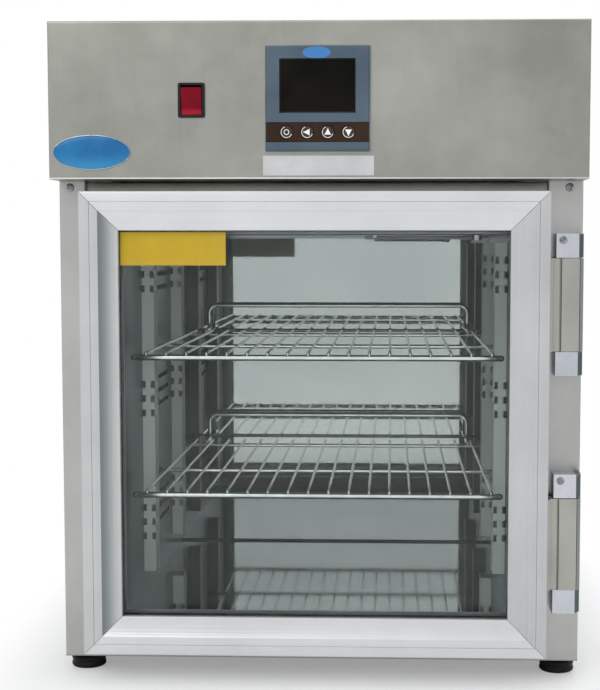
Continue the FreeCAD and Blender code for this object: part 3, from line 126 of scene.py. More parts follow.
class Finish:
    """A material, or the world's look, under construction."""

    def __init__(self, name, kind=bpy.data.materials):
        self.material = kind.new(name)
        self.material.use_nodes = True
        self.tree = self.material.node_tree
        self.tree.nodes.clear()
        self.place = self.add("ShaderNodeTexCoord", out="Object")

    def add(self, kind, settings=(), sockets=(), out=0):
        """A node: its settings first, then the values or links of its sockets; gives one output."""
        node = self.tree.nodes.new(kind)
        for key, value in dict(settings).items():
            if key == "stops":
                ramp = node.color_ramp
                while len(ramp.elements) < len(value):
                    ramp.elements.new(0.5)
                for element, (position, colour) in zip(ramp.elements, value):
                    element.position = position
                    element.color = (*colour, 1.0)
            else:
                setattr(node, key, value)
        for key, value in dict(sockets).items():
            socket = node.inputs[key]
            if isinstance(value, Field):
                self.tree.links.new(value.socket, socket)
            elif socket.type == "RGBA":
                socket.default_value = (*value, 1.0)
            else:
                socket.default_value = value
        return Field(self, node.outputs[out]) if len(node.outputs) else node

    def math(self, operation, *values):
        """A Math node on the values."""
        return self.add("ShaderNodeMath", {"operation": operation}, enumerate(values))

    def step(self, value, low, high):
        """0 below low, 1 above high, smooth between."""
        return self.add("ShaderNodeMapRange", {"interpolation_type": "SMOOTHSTEP"},
                        {"Value": value, "From Min": low, "From Max": high})

    def axis(self, letter):
        """Distance along one row axis, in metres."""
        return self.add("ShaderNodeSeparateXYZ", (), {0: self.place}, out=letter)

    def noise(self, scale, detail=3.0, rough=0.5, stretch=(1, 1, 1), seed=(0, 0, 0)):
        """Cloudy value from 0 to 1; stretch squeezes the pattern along each axis."""
        spot = self.add("ShaderNodeMapping", (), {"Vector": self.place, "Location": seed, "Scale": stretch})
        return self.add("ShaderNodeTexNoise", (), {"Vector": spot, "Scale": scale, "Detail": detail,
                                                   "Roughness": rough})

    def blend(self, share, first, second):
        """Colour between two, by a share from 0 to 1."""
        return self.add("ShaderNodeMix", {"data_type": "RGBA"}, {0: share, 6: first, 7: second}, out=2)

    def tones(self, value, *stops):
        """Colour ramp over a value; stops are (position, colour)."""
        return self.add("ShaderNodeValToRGB", {"stops": stops}, {0: value})

    def relief(self, height, depth, normal=None):
        """Bump of the given depth in metres."""
        sockets = {"Height": height, "Distance": depth, "Strength": 1.0}
        if normal is not None:
            sockets["Normal"] = normal
        return self.add("ShaderNodeBump", (), sockets)

    def soft_edge(self, radius):
        """Normal that rounds sharp edges by a small radius."""
        return self.add("ShaderNodeBevel", {"samples": 4}, {"Radius": radius})

    def edge_mask(self, radius):
        """1 on edges and corners within the radius, 0 on open faces."""
        flat = self.add("ShaderNodeNewGeometry", out="Normal")
        alike = self.add("ShaderNodeVectorMath", {"operation": "DOT_PRODUCT"},
                         {0: self.soft_edge(radius), 1: flat}, out="Value")
        return self.step(1.0 - alike, 0.004, 0.12)

    def principled(self, **sockets):
        """Principled surface; an underscore in a socket's name stands for a space."""
        named = {key.replace("_", " "): value for key, value in sockets.items()}
        return self.add("ShaderNodeBsdfPrincipled", (), named)

    def done(self, surface):
        """Closes the material with its surface and gives it back."""
        self.add("ShaderNodeOutputMaterial", (), {"Surface": surface})
        return self.material


# ---- finishes -------------------------------------------------------------------------
SHADE_BAND_EDGE = 0.15               # mm to each side of a painted shade band's border over which it fades
COVE_SHADE = (0.13, 0.165, 0.16)
GLASS_BEND = 1.22               # low index of refraction: the panes mirror less than bare glass


def drawn_out(run, along, across):
    """Stretch of a streaky pattern that runs along one axis: spots per metre along it and across it."""
    return tuple(along if letter == run else across for letter in "xyz")


def sheet_steel(name, dark, light, grain="z", rough=0.36, cloud=7.0, seed=0.0, streak=0.5, painted_shade_bands=(),
                edge=0.35, metal=1.0):
    """Brushed stainless sheet: fine grain along one axis, cloudy tone, faint wipe marks.  cloud is the
    scale of the clouds, streak the strength of the bands along the grain, edge the share of bright
    wear on edges, metal 0 for a painted look.  painted_shade_bands are (low, high, colour) bands
    across X in millimetres: painted shade laid where the sheet bevels or steps."""
    f = Finish(name)
    hair = f.noise(1.0, 3.0, 0.6, drawn_out(grain, 16.0, 1500.0), (seed, 0, 0))
    band = f.noise(1.0, 2.0, 0.5, drawn_out(grain, 2.0, 34.0), (0, seed, 1.3))
    clouds = f.noise(cloud, 4.0, 0.55, seed=(seed, 2.1, 0.4))
    smear = f.noise(38.0, 3.0, 0.6, seed=(0.3, seed, 0.9))
    tone = clouds * 0.62 + band * 0.22 * streak + smear * 0.16 + (hair - 0.5) * 0.10 - 0.11 * streak + 0.04
    colour = f.tones(tone, (0.30, dark), (0.68, light))
    # Painted shade: each band lays its own colour across X where the sheet's bevels and steps fall dark.
    for low, high, shade_colour in painted_shade_bands:
        past_low, past_high = (f.step(f.axis("X"), (x - SHADE_BAND_EDGE) * MM, (x + SHADE_BAND_EDGE) * MM)
                               for x in (low, high))
        colour = f.blend(past_low * (1.0 - past_high), colour, shade_colour)
    worn = f.edge_mask(1.2 * MM)
    colour = f.blend(worn * edge, colour, tuple(min(1.0, c * 1.5) for c in light))
    shine = rough - 0.07 + clouds * 0.12 + (hair - 0.5) * 0.16 + smear * 0.04 - worn * 0.06
    bump = f.relief(hair * 0.7 + smear * 0.3, 0.02 * MM, f.soft_edge(0.5 * MM))
    return f.done(f.principled(Base_Color=colour, Metallic=metal, Roughness=shine, Normal=bump))


def extruded_aluminium(name, dark, light, run, shaded=None):
    """Satin anodised door extrusion: faint die lines along its run, soft handling marks.  shaded is
    (start, end) in X, in millimetres: painted shade in the cove between them goes from dark to bare."""
    f = Finish(name)
    die = f.noise(1.0, 2.0, 0.6, drawn_out(run, 5.0, 1100.0))
    wide = f.noise(1.0, 1.0, 0.5, drawn_out(run, 1.5, 260.0), (3.0, 0, 5.0))
    marks = f.noise(14.0, 4.0, 0.6)
    fine = f.noise(900.0, 2.0, 0.5)
    tone = marks * 0.58 + die * 0.24 + wide * 0.18
    colour = f.tones(tone, (0.30, dark), (0.70, light))
    # Painted shade: the cove is darkest at its outer start and bare by the glass.
    if shaded:
        inside = f.step(f.axis("X"), (shaded[0] - 0.4) * MM, (shaded[0] + 0.2) * MM)
        fade = inside * (1.0 - f.step(f.axis("X"), shaded[0] * MM, shaded[1] * MM))
        colour = f.blend(fade * 0.85, colour, COVE_SHADE)
    worn = f.edge_mask(0.8 * MM)
    colour = f.blend(worn * 0.3, colour, (0.86, 0.87, 0.88))
    bump = f.relief(fine * 0.3 + die * 0.5 + wide * 0.2, 0.02 * MM, f.soft_edge(0.4 * MM))
    shine = 0.34 + marks * 0.12 + (fine - 0.5) * 0.06
    return f.done(f.principled(Base_Color=colour, Metallic=0.75, Roughness=shine, Normal=bump))


def clear_pane(name, tint, haze):
    """Float glass: mirrors by angle, lets light through, with a trace of dust and wipe marks."""
    f = Finish(name)
    dust = f.noise(9.0, 4.0, 0.6, (1.0, 1.0, 2.2))
    specks = f.step(f.noise(420.0, 2.0, 0.5), 0.66, 0.8)
    mirrored = f.add("ShaderNodeFresnel", (), {"IOR": GLASS_BEND})
    share = f.math("MINIMUM", mirrored + f.step(dust, 0.35, 0.8) * haze + specks * haze * 0.6, 1.0)
    through = f.add("ShaderNodeBsdfTransparent", (), {"Color": tint})
    colour = f.blend(dust, (0.86, 0.90, 0.89), (0.95, 0.97, 0.96))
    surface = f.principled(Base_Color=colour, Metallic=1.0, Roughness=0.02 + dust * 0.05)
    return f.done(f.add("ShaderNodeMixShader", (), {0: share, 1: through, 2: surface}))


def moulded(name, dark, light, rough=0.45, grain=1400.0, relief=0.03, coat=0.0, gloss=0.5,
            edge=0.35, fade=None, spot=None):
    """Moulded plastic: fine spark texture, slow tone shift, paler worn edges.  relief is the
    texture's depth, coat and gloss the clear coat and the mirror level, edge the share of pale wear.
    fade is (low, high, colour) in Z: the colour comes in from high down to low.  spot is (x, z,
    half width, half height, colour) of a printed oval.  Lengths are in millimetres."""
    f = Finish(name)
    spark = f.noise(grain, 2.0, 0.6)
    drift = f.noise(24.0, 3.0, 0.5)
    colour = f.blend(f.step(drift * 0.8 + spark * 0.2, 0.3, 0.7), dark, light)
    if fade:
        colour = f.blend(1.0 - f.step(f.axis("Z"), fade[0] * MM, fade[1] * MM), colour, fade[2])
    if spot:
        x, z, half_wide, half_high, ink = spot
        u = (f.axis("X") - x * MM) / (half_wide * MM)
        v = (f.axis("Z") - z * MM) / (half_high * MM)
        colour = f.blend(1.0 - f.step(u * u + v * v, 0.92, 1.0), colour, ink)
    worn = f.edge_mask(0.7 * MM)
    colour = f.blend(worn * edge, colour, tuple(min(1.0, c * 1.6 + 0.05) for c in light))
    shine = rough - 0.06 + drift * 0.12 + (spark - 0.5) * 0.08
    bump = f.relief(spark, relief * MM, f.soft_edge(0.3 * MM))
    return f.done(f.principled(Base_Color=colour, Roughness=shine, Normal=bump, Coat_Weight=coat,
                               Specular_IOR_Level=gloss))


def bright_metal(name, dark, light, rough=0.18, scale=60.0, vary=0.10, painted_low_shade=None):
    """Plated or polished metal with slight waviness and small scuffs; vary sets how much both show.
    painted_low_shade is (foot, head) in Z, in millimetres: painted shade darkens the colour from the head
    down to the foot."""
    f = Finish(name)
    wave = f.noise(scale, 3.0, 0.5)
    scuff = f.step(f.noise(1.0, 3.0, 0.7, (220.0, 900.0, 900.0)), 0.56, 0.72)
    colour = f.blend(f.step(wave, 0.3, 0.7), dark, light)
    colour = f.blend(scuff * 0.25, colour, tuple(c * 0.7 for c in dark))
    # Painted shade: the colour grows darker towards the foot.
    if painted_low_shade:
        low_shade = 1.0 - f.step(f.axis("Z"), painted_low_shade[0] * MM, painted_low_shade[1] * MM)
        colour = f.blend(low_shade, colour, tuple(c * 0.72 for c in dark))
    shine = rough + (wave + scuff * 1.2) * vary
    bump = f.relief(wave * 0.6 + scuff * 0.4, 0.3 * MM * vary, f.soft_edge(0.4 * MM))
    return f.done(f.principled(Base_Color=colour, Metallic=1.0, Roughness=shine, Normal=bump))


def rubber(name, tone):
    """Dark rubber: dusty bloom, fine pitting."""
    f = Finish(name)
    bloom = f.noise(40.0, 4.0, 0.6)
    pits = f.noise(1100.0, 2.0, 0.6)
    colour = f.blend(f.step(bloom, 0.4, 0.8), tone, tuple(c * 2.2 + 0.01 for c in tone))
    bump = f.relief(pits, 0.04 * MM, f.soft_edge(0.4 * MM))
    return f.done(f.principled(Base_Color=colour, Roughness=0.62 + bloom * 0.2, Normal=bump))


# The finish of each material slot.
finishes = {
    "stainless": sheet_steel("brushed_stainless", (0.285, 0.284, 0.252), (0.455, 0.453, 0.408), streak=0.38),
    "polished_liner": bright_metal("polished_liner_sheet", (0.46, 0.48, 0.48), (0.60, 0.62, 0.62), 0.05, 9.0),
    "liner": sheet_steel("liner_sheet", (0.20, 0.22, 0.22), (0.34, 0.36, 0.36), "y", 0.28, seed=3.0),
    "rear_sheet": sheet_steel("mill_sheet", (0.26, 0.26, 0.25), (0.42, 0.42, 0.40), "z", 0.44, seed=5.0),
    "foam": moulded("rigid_foam", (0.62, 0.52, 0.30), (0.78, 0.68, 0.42), 0.8, 600.0, 0.3),
    "upright_steel": sheet_steel("upright_steel", (0.86, 0.88, 0.87), (0.95, 0.97, 0.96), "z", 0.50, seed=7.0,
                                 edge=0.1, metal=0.0),
    "clip_steel": bright_metal("clip_steel", (0.42, 0.43, 0.42), (0.62, 0.63, 0.62), 0.26),
    "heater_metal": bright_metal("heater_steel", (0.10, 0.08, 0.07), (0.24, 0.21, 0.19), 0.42),
    "motor_metal": moulded("motor_paint", (0.02, 0.02, 0.022), (0.05, 0.05, 0.055), 0.4),
    "impeller_aluminium": bright_metal("impeller_aluminium", (0.45, 0.46, 0.46), (0.62, 0.63, 0.64), 0.35),
    "black_plastic": moulded("black_nylon", (0.006, 0.007, 0.010), (0.015, 0.017, 0.022), 0.42,
                             gloss=0.2, edge=0.1),
    "slate_plastic": moulded("slate_bezel", (0.062, 0.092, 0.128), (0.086, 0.122, 0.160), 0.5,
                             gloss=0.25, edge=0.15, spot=(-0.6, 593.8, 13.1, 5.6, (0.055, 0.20, 0.48))),
    "screen_window": moulded("dark_window", (0.004, 0.0038, 0.003), (0.009, 0.008, 0.006), 0.24, 300.0,
                             relief=0.005, gloss=0.05),
    # The rocker's lower end turns a paler red below 545 mm: a painted highlight.
    "red_rocker": moulded("red_rocker", (0.13, 0.0, 0.006), (0.21, 0.0, 0.012), 0.24, 500.0,
                          relief=0.01, gloss=0.12, edge=0.15, fade=(539.5, 545.0, (0.36, 0.012, 0.024))),
    "terminal_plastic": moulded("terminal_plastic", (0.50, 0.50, 0.45), (0.62, 0.62, 0.57), 0.5),
    "hinge_chrome": sheet_steel("satin_hinge", (0.30, 0.29, 0.26), (0.46, 0.45, 0.42), "z", 0.30, 14.0,
                                seed=9.0),
    "door_aluminium": extruded_aluminium("level_extrusion", (0.61, 0.61, 0.62), (0.72, 0.72, 0.73), "x"),
    "corner_key_plastic": moulded("corner_key", (0.03, 0.03, 0.03), (0.06, 0.06, 0.06)),
    "glass": clear_pane("door_glass", (0.974, 0.986, 0.982), 0.006),
    # The spacer's near-black is painted shade: it stands in for the shadow line along the glass's edge.
    "spacer": bright_metal("spacer_bar_painted_shade", (0.02, 0.025, 0.025), (0.05, 0.055, 0.055), 0.4),
    "gasket_rubber": rubber("door_seal", (0.05, 0.05, 0.052)),
    "shelf_wire": bright_metal("bright_wire", (0.80, 0.81, 0.80), (0.94, 0.95, 0.94), 0.16, 60.0, 0.06),
    "key_plastic": moulded("brown_key", (0.030, 0.017, 0.012), (0.050, 0.031, 0.024), 0.4,
                           gloss=0.3, edge=0.1),
    "foot_plastic": moulded("foot_rubber", (0.004, 0.004, 0.005), (0.009, 0.009, 0.010), 0.5, 1100.0,
                            relief=0.04, gloss=0.18, edge=0.1),
}
# Finishes of single pieces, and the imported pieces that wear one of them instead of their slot's.
BARREL_TONES = ((0.34, 0.335, 0.305), (0.47, 0.465, 0.42))
by_name = {
    "stile": sheet_steel("stile_sheet", (0.39, 0.39, 0.375), (0.53, 0.53, 0.515), seed=2.0),
    # The back liner's colour darkens from 195 mm down to 90 mm: painted shade low in the chamber.
    "mirror": bright_metal("mirror_liner", (0.49, 0.495, 0.49), (0.57, 0.575, 0.565), 0.008, 4.0, 0.02,
                           (90.0, 195.0)),
    "floor_pan": bright_metal("chamber_floor_pan", (0.74, 0.77, 0.77), (0.84, 0.87, 0.87), 0.02, 9.0, 0.03),
    # Both side rails wear darker tones of the door's extrusion than the top and bottom rails: painted shade.
    "upright_rail": extruded_aluminium("upright_extrusion", (0.47, 0.47, 0.475), (0.58, 0.58, 0.585), "z"),
    "cove_rail": extruded_aluminium("coved_extrusion", (0.47, 0.475, 0.475), (0.58, 0.585, 0.585), "z",
                                    (-205.4, -187.5)),
    # The vent panels' stainless is darkened almost to black: painted shade for the dark they reflect inside
    # the chamber.
    "side_wall": sheet_steel("side_wall_painted_shade", (0.075, 0.092, 0.090), (0.13, 0.153, 0.15), "z", 0.30,
                             seed=4.0, streak=0.2, edge=0.1),
    # The hinge block's two bands colour its bevels darker, the right one near black: painted shade.
    "block": sheet_steel("hinge_block", (0.46, 0.48, 0.52), (0.68, 0.69, 0.72), "z", 0.26, 18.0, seed=9.0,
                         streak=0.3, painted_shade_bands=((219.0, 222.3, (0.46, 0.50, 0.51)),
                                            (243.1, 248.2, (0.040, 0.066, 0.072)))),
    # On the barrel, two dark lines beside the cover plate's edges are painted shadow, and the band to their
    # right is painted shade on its side.
    "barrel": sheet_steel("hinge_barrel", *BARREL_TONES, "z", 0.34, 12.0, seed=11.0, streak=0.3,
                          painted_shade_bands=((226.3, 227.0, (0.04, 0.045, 0.045)), (243.7, 244.5, (0.03, 0.055, 0.06)),
                                 (244.5, 247.6, (0.24, 0.26, 0.26)))),
    "cover": sheet_steel("hinge_cover", *BARREL_TONES, "z", 0.34, 12.0, seed=11.0, streak=0.3),
    # The hem's pale tones are a painted highlight along the fascia's lower edge.
    "hem": sheet_steel("hem_painted_highlight", (0.56, 0.56, 0.53), (0.74, 0.735, 0.70), "x", 0.3, seed=6.0),
    "screw": bright_metal("screw_steel", (0.14, 0.16, 0.165), (0.36, 0.385, 0.39), 0.20, 300.0),
    # The rim's bottom edge turns pale yellow below 505 mm: a painted highlight.
    "bezel_rim": moulded("bezel_rim", (0.27, 0.27, 0.24), (0.36, 0.355, 0.32), 0.4, gloss=0.2,
                         fade=(500.0, 505.0, (0.60, 0.58, 0.48))),
    "screen_frame": moulded("screen_frame", (0.004, 0.0038, 0.003), (0.010, 0.009, 0.007), 0.30,
                            gloss=0.08, edge=0.03),
    "band": moulded("key_band", (0.027, 0.015, 0.009), (0.044, 0.026, 0.018), 0.42, gloss=0.06, edge=0.0),
    # White ink for the printed glyphs, also worn by the painted highlight arc on each key's rim.
    "ink": moulded("white_ink_and_rim_highlight", (0.78, 0.76, 0.72), (0.92, 0.90, 0.87), 0.5, 900.0, gloss=0.2),
    "badge_rim": bright_metal("badge_rim", (0.30, 0.37, 0.44), (0.46, 0.54, 0.62), 0.14, 120.0),
    "badge_blue": moulded("badge_enamel", (0.008, 0.12, 0.31), (0.018, 0.19, 0.43), 0.20, 200.0,
                          relief=0.006, coat=0.1, gloss=0.25, fade=(488.0, 505.0, (0.03, 0.24, 0.48))),
}
special = {
    "left_side_panel": "stile", "right_side_panel": "stile",
    "liner_back": "mirror", "liner_floor": "floor_pan",
    "left_vent_panel": "side_wall", "right_vent_panel": "side_wall",
    "upper_hinge_bracket": "block", "lower_hinge_bracket": "block",
    "upper_hinge_leaf": "barrel", "lower_hinge_leaf": "barrel",
}
for part in frame["record"]["subparts"]:
    carried = nodes[part["node"]]
    carried.data.materials.clear()
    chosen = by_name[special[part["node"]]] if part["node"] in special else finishes[part["material_slot"]]
    carried.data.materials.append(chosen)


# ---- surfaces -------------------------------------------------------------------------
def built(name, lofts, body, finish, capped=(True, True), smooth=40.0):
    """One piece from lofts, each an array (rings, around, 3): quads join every ring to the next,
    and a flat face closes the first and last ring where capped says so."""
    points, quads, rims, start = [], [], [], 0
    for rings in lofts:
        count, around, _ = rings.shape
        index = np.arange(count * around).reshape(count, around) + start
        ahead = np.roll(index, -1, axis=1)
        quads.append(np.stack([index[:-1], ahead[:-1], ahead[1:], index[1:]], axis=-1).reshape(-1, 4))
        rims += [end for end, wanted in ((index[0][::-1], capped[0]), (index[-1], capped[1])) if wanted]
        points.append(rings.reshape(-1, 3))
        start += count * around
    points = np.concatenate(points)
    quads = np.concatenate(quads)
    corners = np.concatenate([quads.ravel()] + rims)
    sizes = np.concatenate([np.full(len(quads), 4), [len(rim) for rim in rims]]).astype(int)
    mesh = bpy.data.meshes.new(name)
    mesh.vertices.add(len(points))
    mesh.vertices.foreach_set("co", points.ravel())
    mesh.loops.add(len(corners))
    mesh.loops.foreach_set("vertex_index", corners.astype(int))
    mesh.polygons.add(len(sizes))
    mesh.polygons.foreach_set("loop_start", np.cumsum(sizes) - sizes)
    mesh.polygons.foreach_set("loop_total", sizes)
    mesh.update(calc_edges=True)
    mesh.materials.append(finish)
    mesh.shade_smooth()
    mesh.set_sharp_from_angle(angle=math.radians(smooth))
    piece = bpy.data.objects.new(name, mesh)
    bpy.context.scene.collection.objects.link(piece)
    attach(piece, body)
    return piece


def unit(rows):
    """Rows scaled to length 1."""
    return rows / np.linalg.norm(rows, axis=-1, keepdims=True)


AXES = {letter: np.array(rows, float) for letter, rows in {
    "up": ((1, 0, 0), (0, 1, 0), (0, 0, 1)),
    "front": ((1, 0, 0), (0, 0, 1), (0, -1, 0)),
    "rear": ((0, 0, 1), (1, 0, 0), (0, 1, 0)),
}.items()}


def turned(profile, centre, way, around):
    """Turned shape.  profile rows are (radius, height): point(h, t) = centre
    + radius(h) (cos t u + sin t v) + h w, with u, v, w the axes named by way and t the middles of
    the equal parts of a full turn."""
    profile = np.asarray(profile, float)
    u, v, w = AXES[way]
    turn = np.linspace(0.0, 2 * math.pi, around, endpoint=False) + math.pi / around
    flat = np.cos(turn)[:, None] * u + np.sin(turn)[:, None] * v
    return np.asarray(centre) + profile[:, :1, None] * flat + profile[:, 1:, None] * w


def tube(path, radius, around=16, dome=4):
    """Round rod along a path (n, 3): point(i, t) = p_i + r_i (cos t u_i + sin t v_i), with u_i and
    v_i square to the run.  The ends are domed: r = R cos a, set on by R sin a, a from 0 to 87.3
    degrees, so that a small ring is left for the flat cap."""
    path = np.asarray(path, float)
    run = unit(np.gradient(path, axis=0))
    bend = np.linspace(0.0, math.pi / 2, dome + 1)[1:, None] * 0.97
    behind = path[:1] - radius * np.sin(bend[::-1]) * run[:1]
    ahead = path[-1:] + radius * np.sin(bend) * run[-1:]
    spine = np.concatenate([behind, path, ahead])
    radii = radius * np.concatenate([np.cos(bend[::-1]), np.ones((len(path), 1)), np.cos(bend)])
    runs = np.concatenate([np.repeat(run[:1], dome, 0), run, np.repeat(run[-1:], dome, 0)])
    side = unit(np.cross(runs, (0.31, 0.52, 0.79)))
    up = np.cross(runs, side)
    turn = np.linspace(0.0, 2 * math.pi, around, endpoint=False)[:, None]
    return spine[:, None] + radii[:, None] * (np.cos(turn) * side[:, None] + np.sin(turn) * up[:, None])


def bent(route, reach, steps=9):
    """Route with each corner turned in a quarter arc: corner + back (1 - sin a) + on (1 - cos a)."""
    route = np.asarray(route, float)
    turn = np.linspace(0.0, math.pi / 2, steps)[:, None]
    runs = [route[:1]]
    for before, corner, after in zip(route, route[1:], route[2:]):
        back = unit(before - corner) * reach
        on = unit(after - corner) * reach
        runs.append(corner + back * (1 - np.sin(turn)) + on * (1 - np.cos(turn)))
    return np.concatenate(runs + [route[-1:]])


def rounded_box(width, height, radius, per_corner=8):
    """Rounded rectangle about the origin as (points, 2), anticlockwise: four quarter arcs, each of
    at least 0.01 mm radius."""
    turn = np.linspace(0.0, math.pi / 2, per_corner)
    radius = max(radius, 0.01 * MM)
    corner = np.stack([np.cos(turn), np.sin(turn)], axis=1) * radius
    half = np.array([width / 2, height / 2]) - radius
    runs = []
    for c, s, side in ((1, 0, (1, 1)), (0, 1, (-1, 1)), (-1, 0, (-1, -1)), (0, -1, (1, -1))):
        runs.append(corner @ np.array([[c, s], [-s, c]]) + half * side)
    return np.concatenate(runs)


def oval(width, height, radius=0.0, around=72):
    """Ellipse about the origin as (points, 2), anticlockwise.  It has no use for a radius: the
    argument is there because rounded_box is called with one."""
    turn = np.linspace(0.0, 2 * math.pi, around, endpoint=False)
    return np.stack([np.cos(turn) * width / 2, np.sin(turn) * height / 2], axis=1)


def stacked(centre, size, radius, layers, outline=rounded_box):
    """Rings on a front face.  layers are (inset, y) pairs from the back to the middle of the front:
    each ring is the outline drawn in by its inset, at that y."""
    rings = []
    for inset, y in layers:
        x, z = outline(size[0] - 2 * inset, size[1] - 2 * inset, radius - inset).T
        rings.append(np.stack([centre[0] + x, np.full(len(x), y), centre[1] + z], axis=1))
    return np.array(rings)


def mm(*values):
    """Millimetres as an array in metres."""
    return np.array(values, float) * MM


def raised(face_y, *rows):
    """Layers for stacked on a front face at face_y, from rows of (inset, rise) in millimetres."""
    return [(inset * MM, face_y - rise * MM) for inset, rise in rows]


def ring(centre, radius, turn, y):
    """Points at the angles of turn on a circle that faces the front: x + r cos t, z + r sin t."""
    return np.stack([centre[0] + radius * np.cos(turn), np.full(len(turn), y),
                     centre[1] + radius * np.sin(turn)], axis=1)


# ---- shelves --------------------------------------------------------------------------
WIRE_R, CROSS_R, FRONT_R, STOP_R = mm(1.5, 2.3, 3.1, 2.6)
SIDE_ROOM = 5.5 * MM            # from the grid's box out to the lines that the ends are set from
RAILS = ((deep(88), FRONT_R, mm(8.0, 11.0)),    # y, radius, distances of the ends from those lines
         (deep(240), CROSS_R, mm(5.5, 5.5)),
         (deep(440), CROSS_R, mm(5.5, 5.5)))
WIRES, FIRST_WIRE = 18, 22.95 * MM
STOP_Y, STOP_TOE_Y = deep(466), deep(434)
WIRE_FRONT_Y, WIRE_BACK_Y = deep(85.5) + WIRE_R, STOP_Y - STOP_R - 2.6 * WIRE_R
STOP_RISE, STOP_BEND, STOP_LEFT, STOP_RIGHT = mm(31.5, 9.5, 38.5, 28.0)
WELD_R, WELD_HIGH = 2.1, 1.5    # mm, half sizes of the bead where two wires cross


def add_shelf(level):
    """Wires on a front rail and two cross rails, with welded crossings, and the bent back stop."""
    low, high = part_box(level + "_shelf_grid")
    wire_z = high.z - WIRE_R
    left, right = low.x - SIDE_ROOM, high.x + SIDE_ROOM
    steel = finishes["shelf_wire"]
    lofts, knots = [], []
    for y, radius, end in RAILS:
        rail_z = wire_z - WIRE_R - radius
        ends = [(left + end[0] + radius, y, rail_z), (right - end[1] - radius, y, rail_z)]
        lofts.append(tube(np.linspace(*ends, 12), radius, 24))
    for x in np.linspace(left + FIRST_WIRE, right - FIRST_WIRE, WIRES):
        ends = [(x, WIRE_FRONT_Y, wire_z), (x, WIRE_BACK_Y, wire_z)]
        lofts.append(tube(np.linspace(*ends, 8), WIRE_R, 16))
        knots += [(x, y, wire_z - WIRE_R) for y, _, _ in RAILS]
    arc = np.linspace(0.06, math.pi - 0.06, 9)      # short of the poles, where the flat caps close it
    profile = np.stack([np.sin(arc) * WELD_R, -np.cos(arc) * WELD_HIGH], axis=1) * MM
    lofts += [turned(profile, knot, "up", 12) for knot in knots]
    grid = built(level + "_shelf_wires", lofts, level + "_shelf", steel)
    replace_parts(grid, level + "_shelf_grid")
    foot_z = wire_z - WIRE_R + STOP_R
    top_z = wire_z + STOP_RISE
    x0, x1 = left + STOP_LEFT, right - STOP_RIGHT
    route = [(x0, STOP_TOE_Y, foot_z), (x0, STOP_Y, foot_z), (x0, STOP_Y, top_z),
             (x1, STOP_Y, top_z), (x1, STOP_Y, foot_z), (x1, STOP_TOE_Y, foot_z)]
    stop = built(level + "_shelf_stop", [tube(bent(route, STOP_BEND), STOP_R, 20)], level + "_shelf", steel)
    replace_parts(stop, level + "_shelf_back_stop")


# ---- door -----------------------------------------------------------------------------
LEFT_RAIL, RIGHT_RAIL = (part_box(name) for name in ("door_rail_left", "door_rail_right"))
DOOR_X = (LEFT_RAIL[0].x, RIGHT_RAIL[1].x)
DOOR_Z = (LEFT_RAIL[0].z, LEFT_RAIL[1].z)
MITRE_HAIR = 0.24 * MM          # half of the joint line between two rails
OPENING_INSET = 36.6 * MM       # from the door's edge to the glass opening


def frame_section():
    """Door extrusion as (inset from the door's edge, depth) in mm: rounded outer edge, flat strip,
    hairline groove, a second flat, then a cove that starts steep and ends level at the glass, and
    the glass pocket.  The cove's inset is s = 18.4 + 17.5 u, its depth 0.45 + 3.5 (1 - (1 - u)^2)
    + 0.1 sum exp(-((s - c) / 0.3)^2), u from 0 to 1, with c the places of four faint flutes."""
    turn = np.linspace(0.0, math.pi / 2, 7)[:, None]
    edge = np.array([1.3, 1.3]) - 1.3 * np.concatenate([np.cos(turn), np.sin(turn)], axis=1)
    groove = [(9.7, 0.0), (9.85, 0.12), (9.95, 0.6), (10.25, 0.6), (10.35, 0.12), (10.5, 0.0), (17.7, 0.0),
              (18.0, 0.1), (18.25, 0.35)]
    u = np.linspace(0.0, 1.0, 49)
    inset = 18.4 + 17.5 * u
    flutes = sum(0.10 * np.exp(-((inset - centre) / 0.3) ** 2) for centre in (21.6, 24.6, 28.8, 33.0))
    cove = np.stack([inset, 0.45 + 3.5 * (1 - (1 - u) ** 2) + flutes], axis=1)
    lip = [(36.3, 4.1), (36.6, 4.6), (36.7, 5.4), (36.7, 9.2), (26.0, 9.2), (26.0, 35.7), (35.3, 35.7),
           (35.3, 37.4), (28.8, 39.0), (0.0, 39.0)]
    return np.concatenate([edge, groove, cove, lip])


def add_door_frame():
    """Four mitred rails.  A point of the section at inset s lies s in from the door's edge, and its
    end is cut on the 45 degree line through the door's corner, less a hairline for the joint."""
    section = frame_section() * MM
    inset, depth = section[:, 0], deep(0) + section[:, 1]
    metals = {"left": by_name["cove_rail"], "right": by_name["upright_rail"],
              "bottom": finishes["door_aluminium"], "top": finishes["door_aluminium"]}
    spans = {"left": (DOOR_X[0], 1, DOOR_Z), "right": (DOOR_X[1], -1, DOOR_Z),
             "bottom": (DOOR_Z[0], 1, DOOR_X), "top": (DOOR_Z[1], -1, DOOR_X)}
    share = np.linspace(0.0, 1.0, 4)[:, None]
    for side, (edge, inward, run) in spans.items():
        along = (run[0] + inset + MITRE_HAIR) * (1 - share) + (run[1] - inset - MITRE_HAIR) * share
        flat = np.broadcast_to(edge + inward * inset, along.shape)
        sunk = np.broadcast_to(depth, along.shape)
        loft = np.stack([flat, sunk, along] if side in ("left", "right") else [along, sunk, flat], axis=-1)
        loft = loft[:, ::-1] if side in ("right", "bottom") else loft
        rail = built("frame_" + side, [loft], "door", metals[side], smooth=28.0)
        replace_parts(rail, "door_rail_" + side)


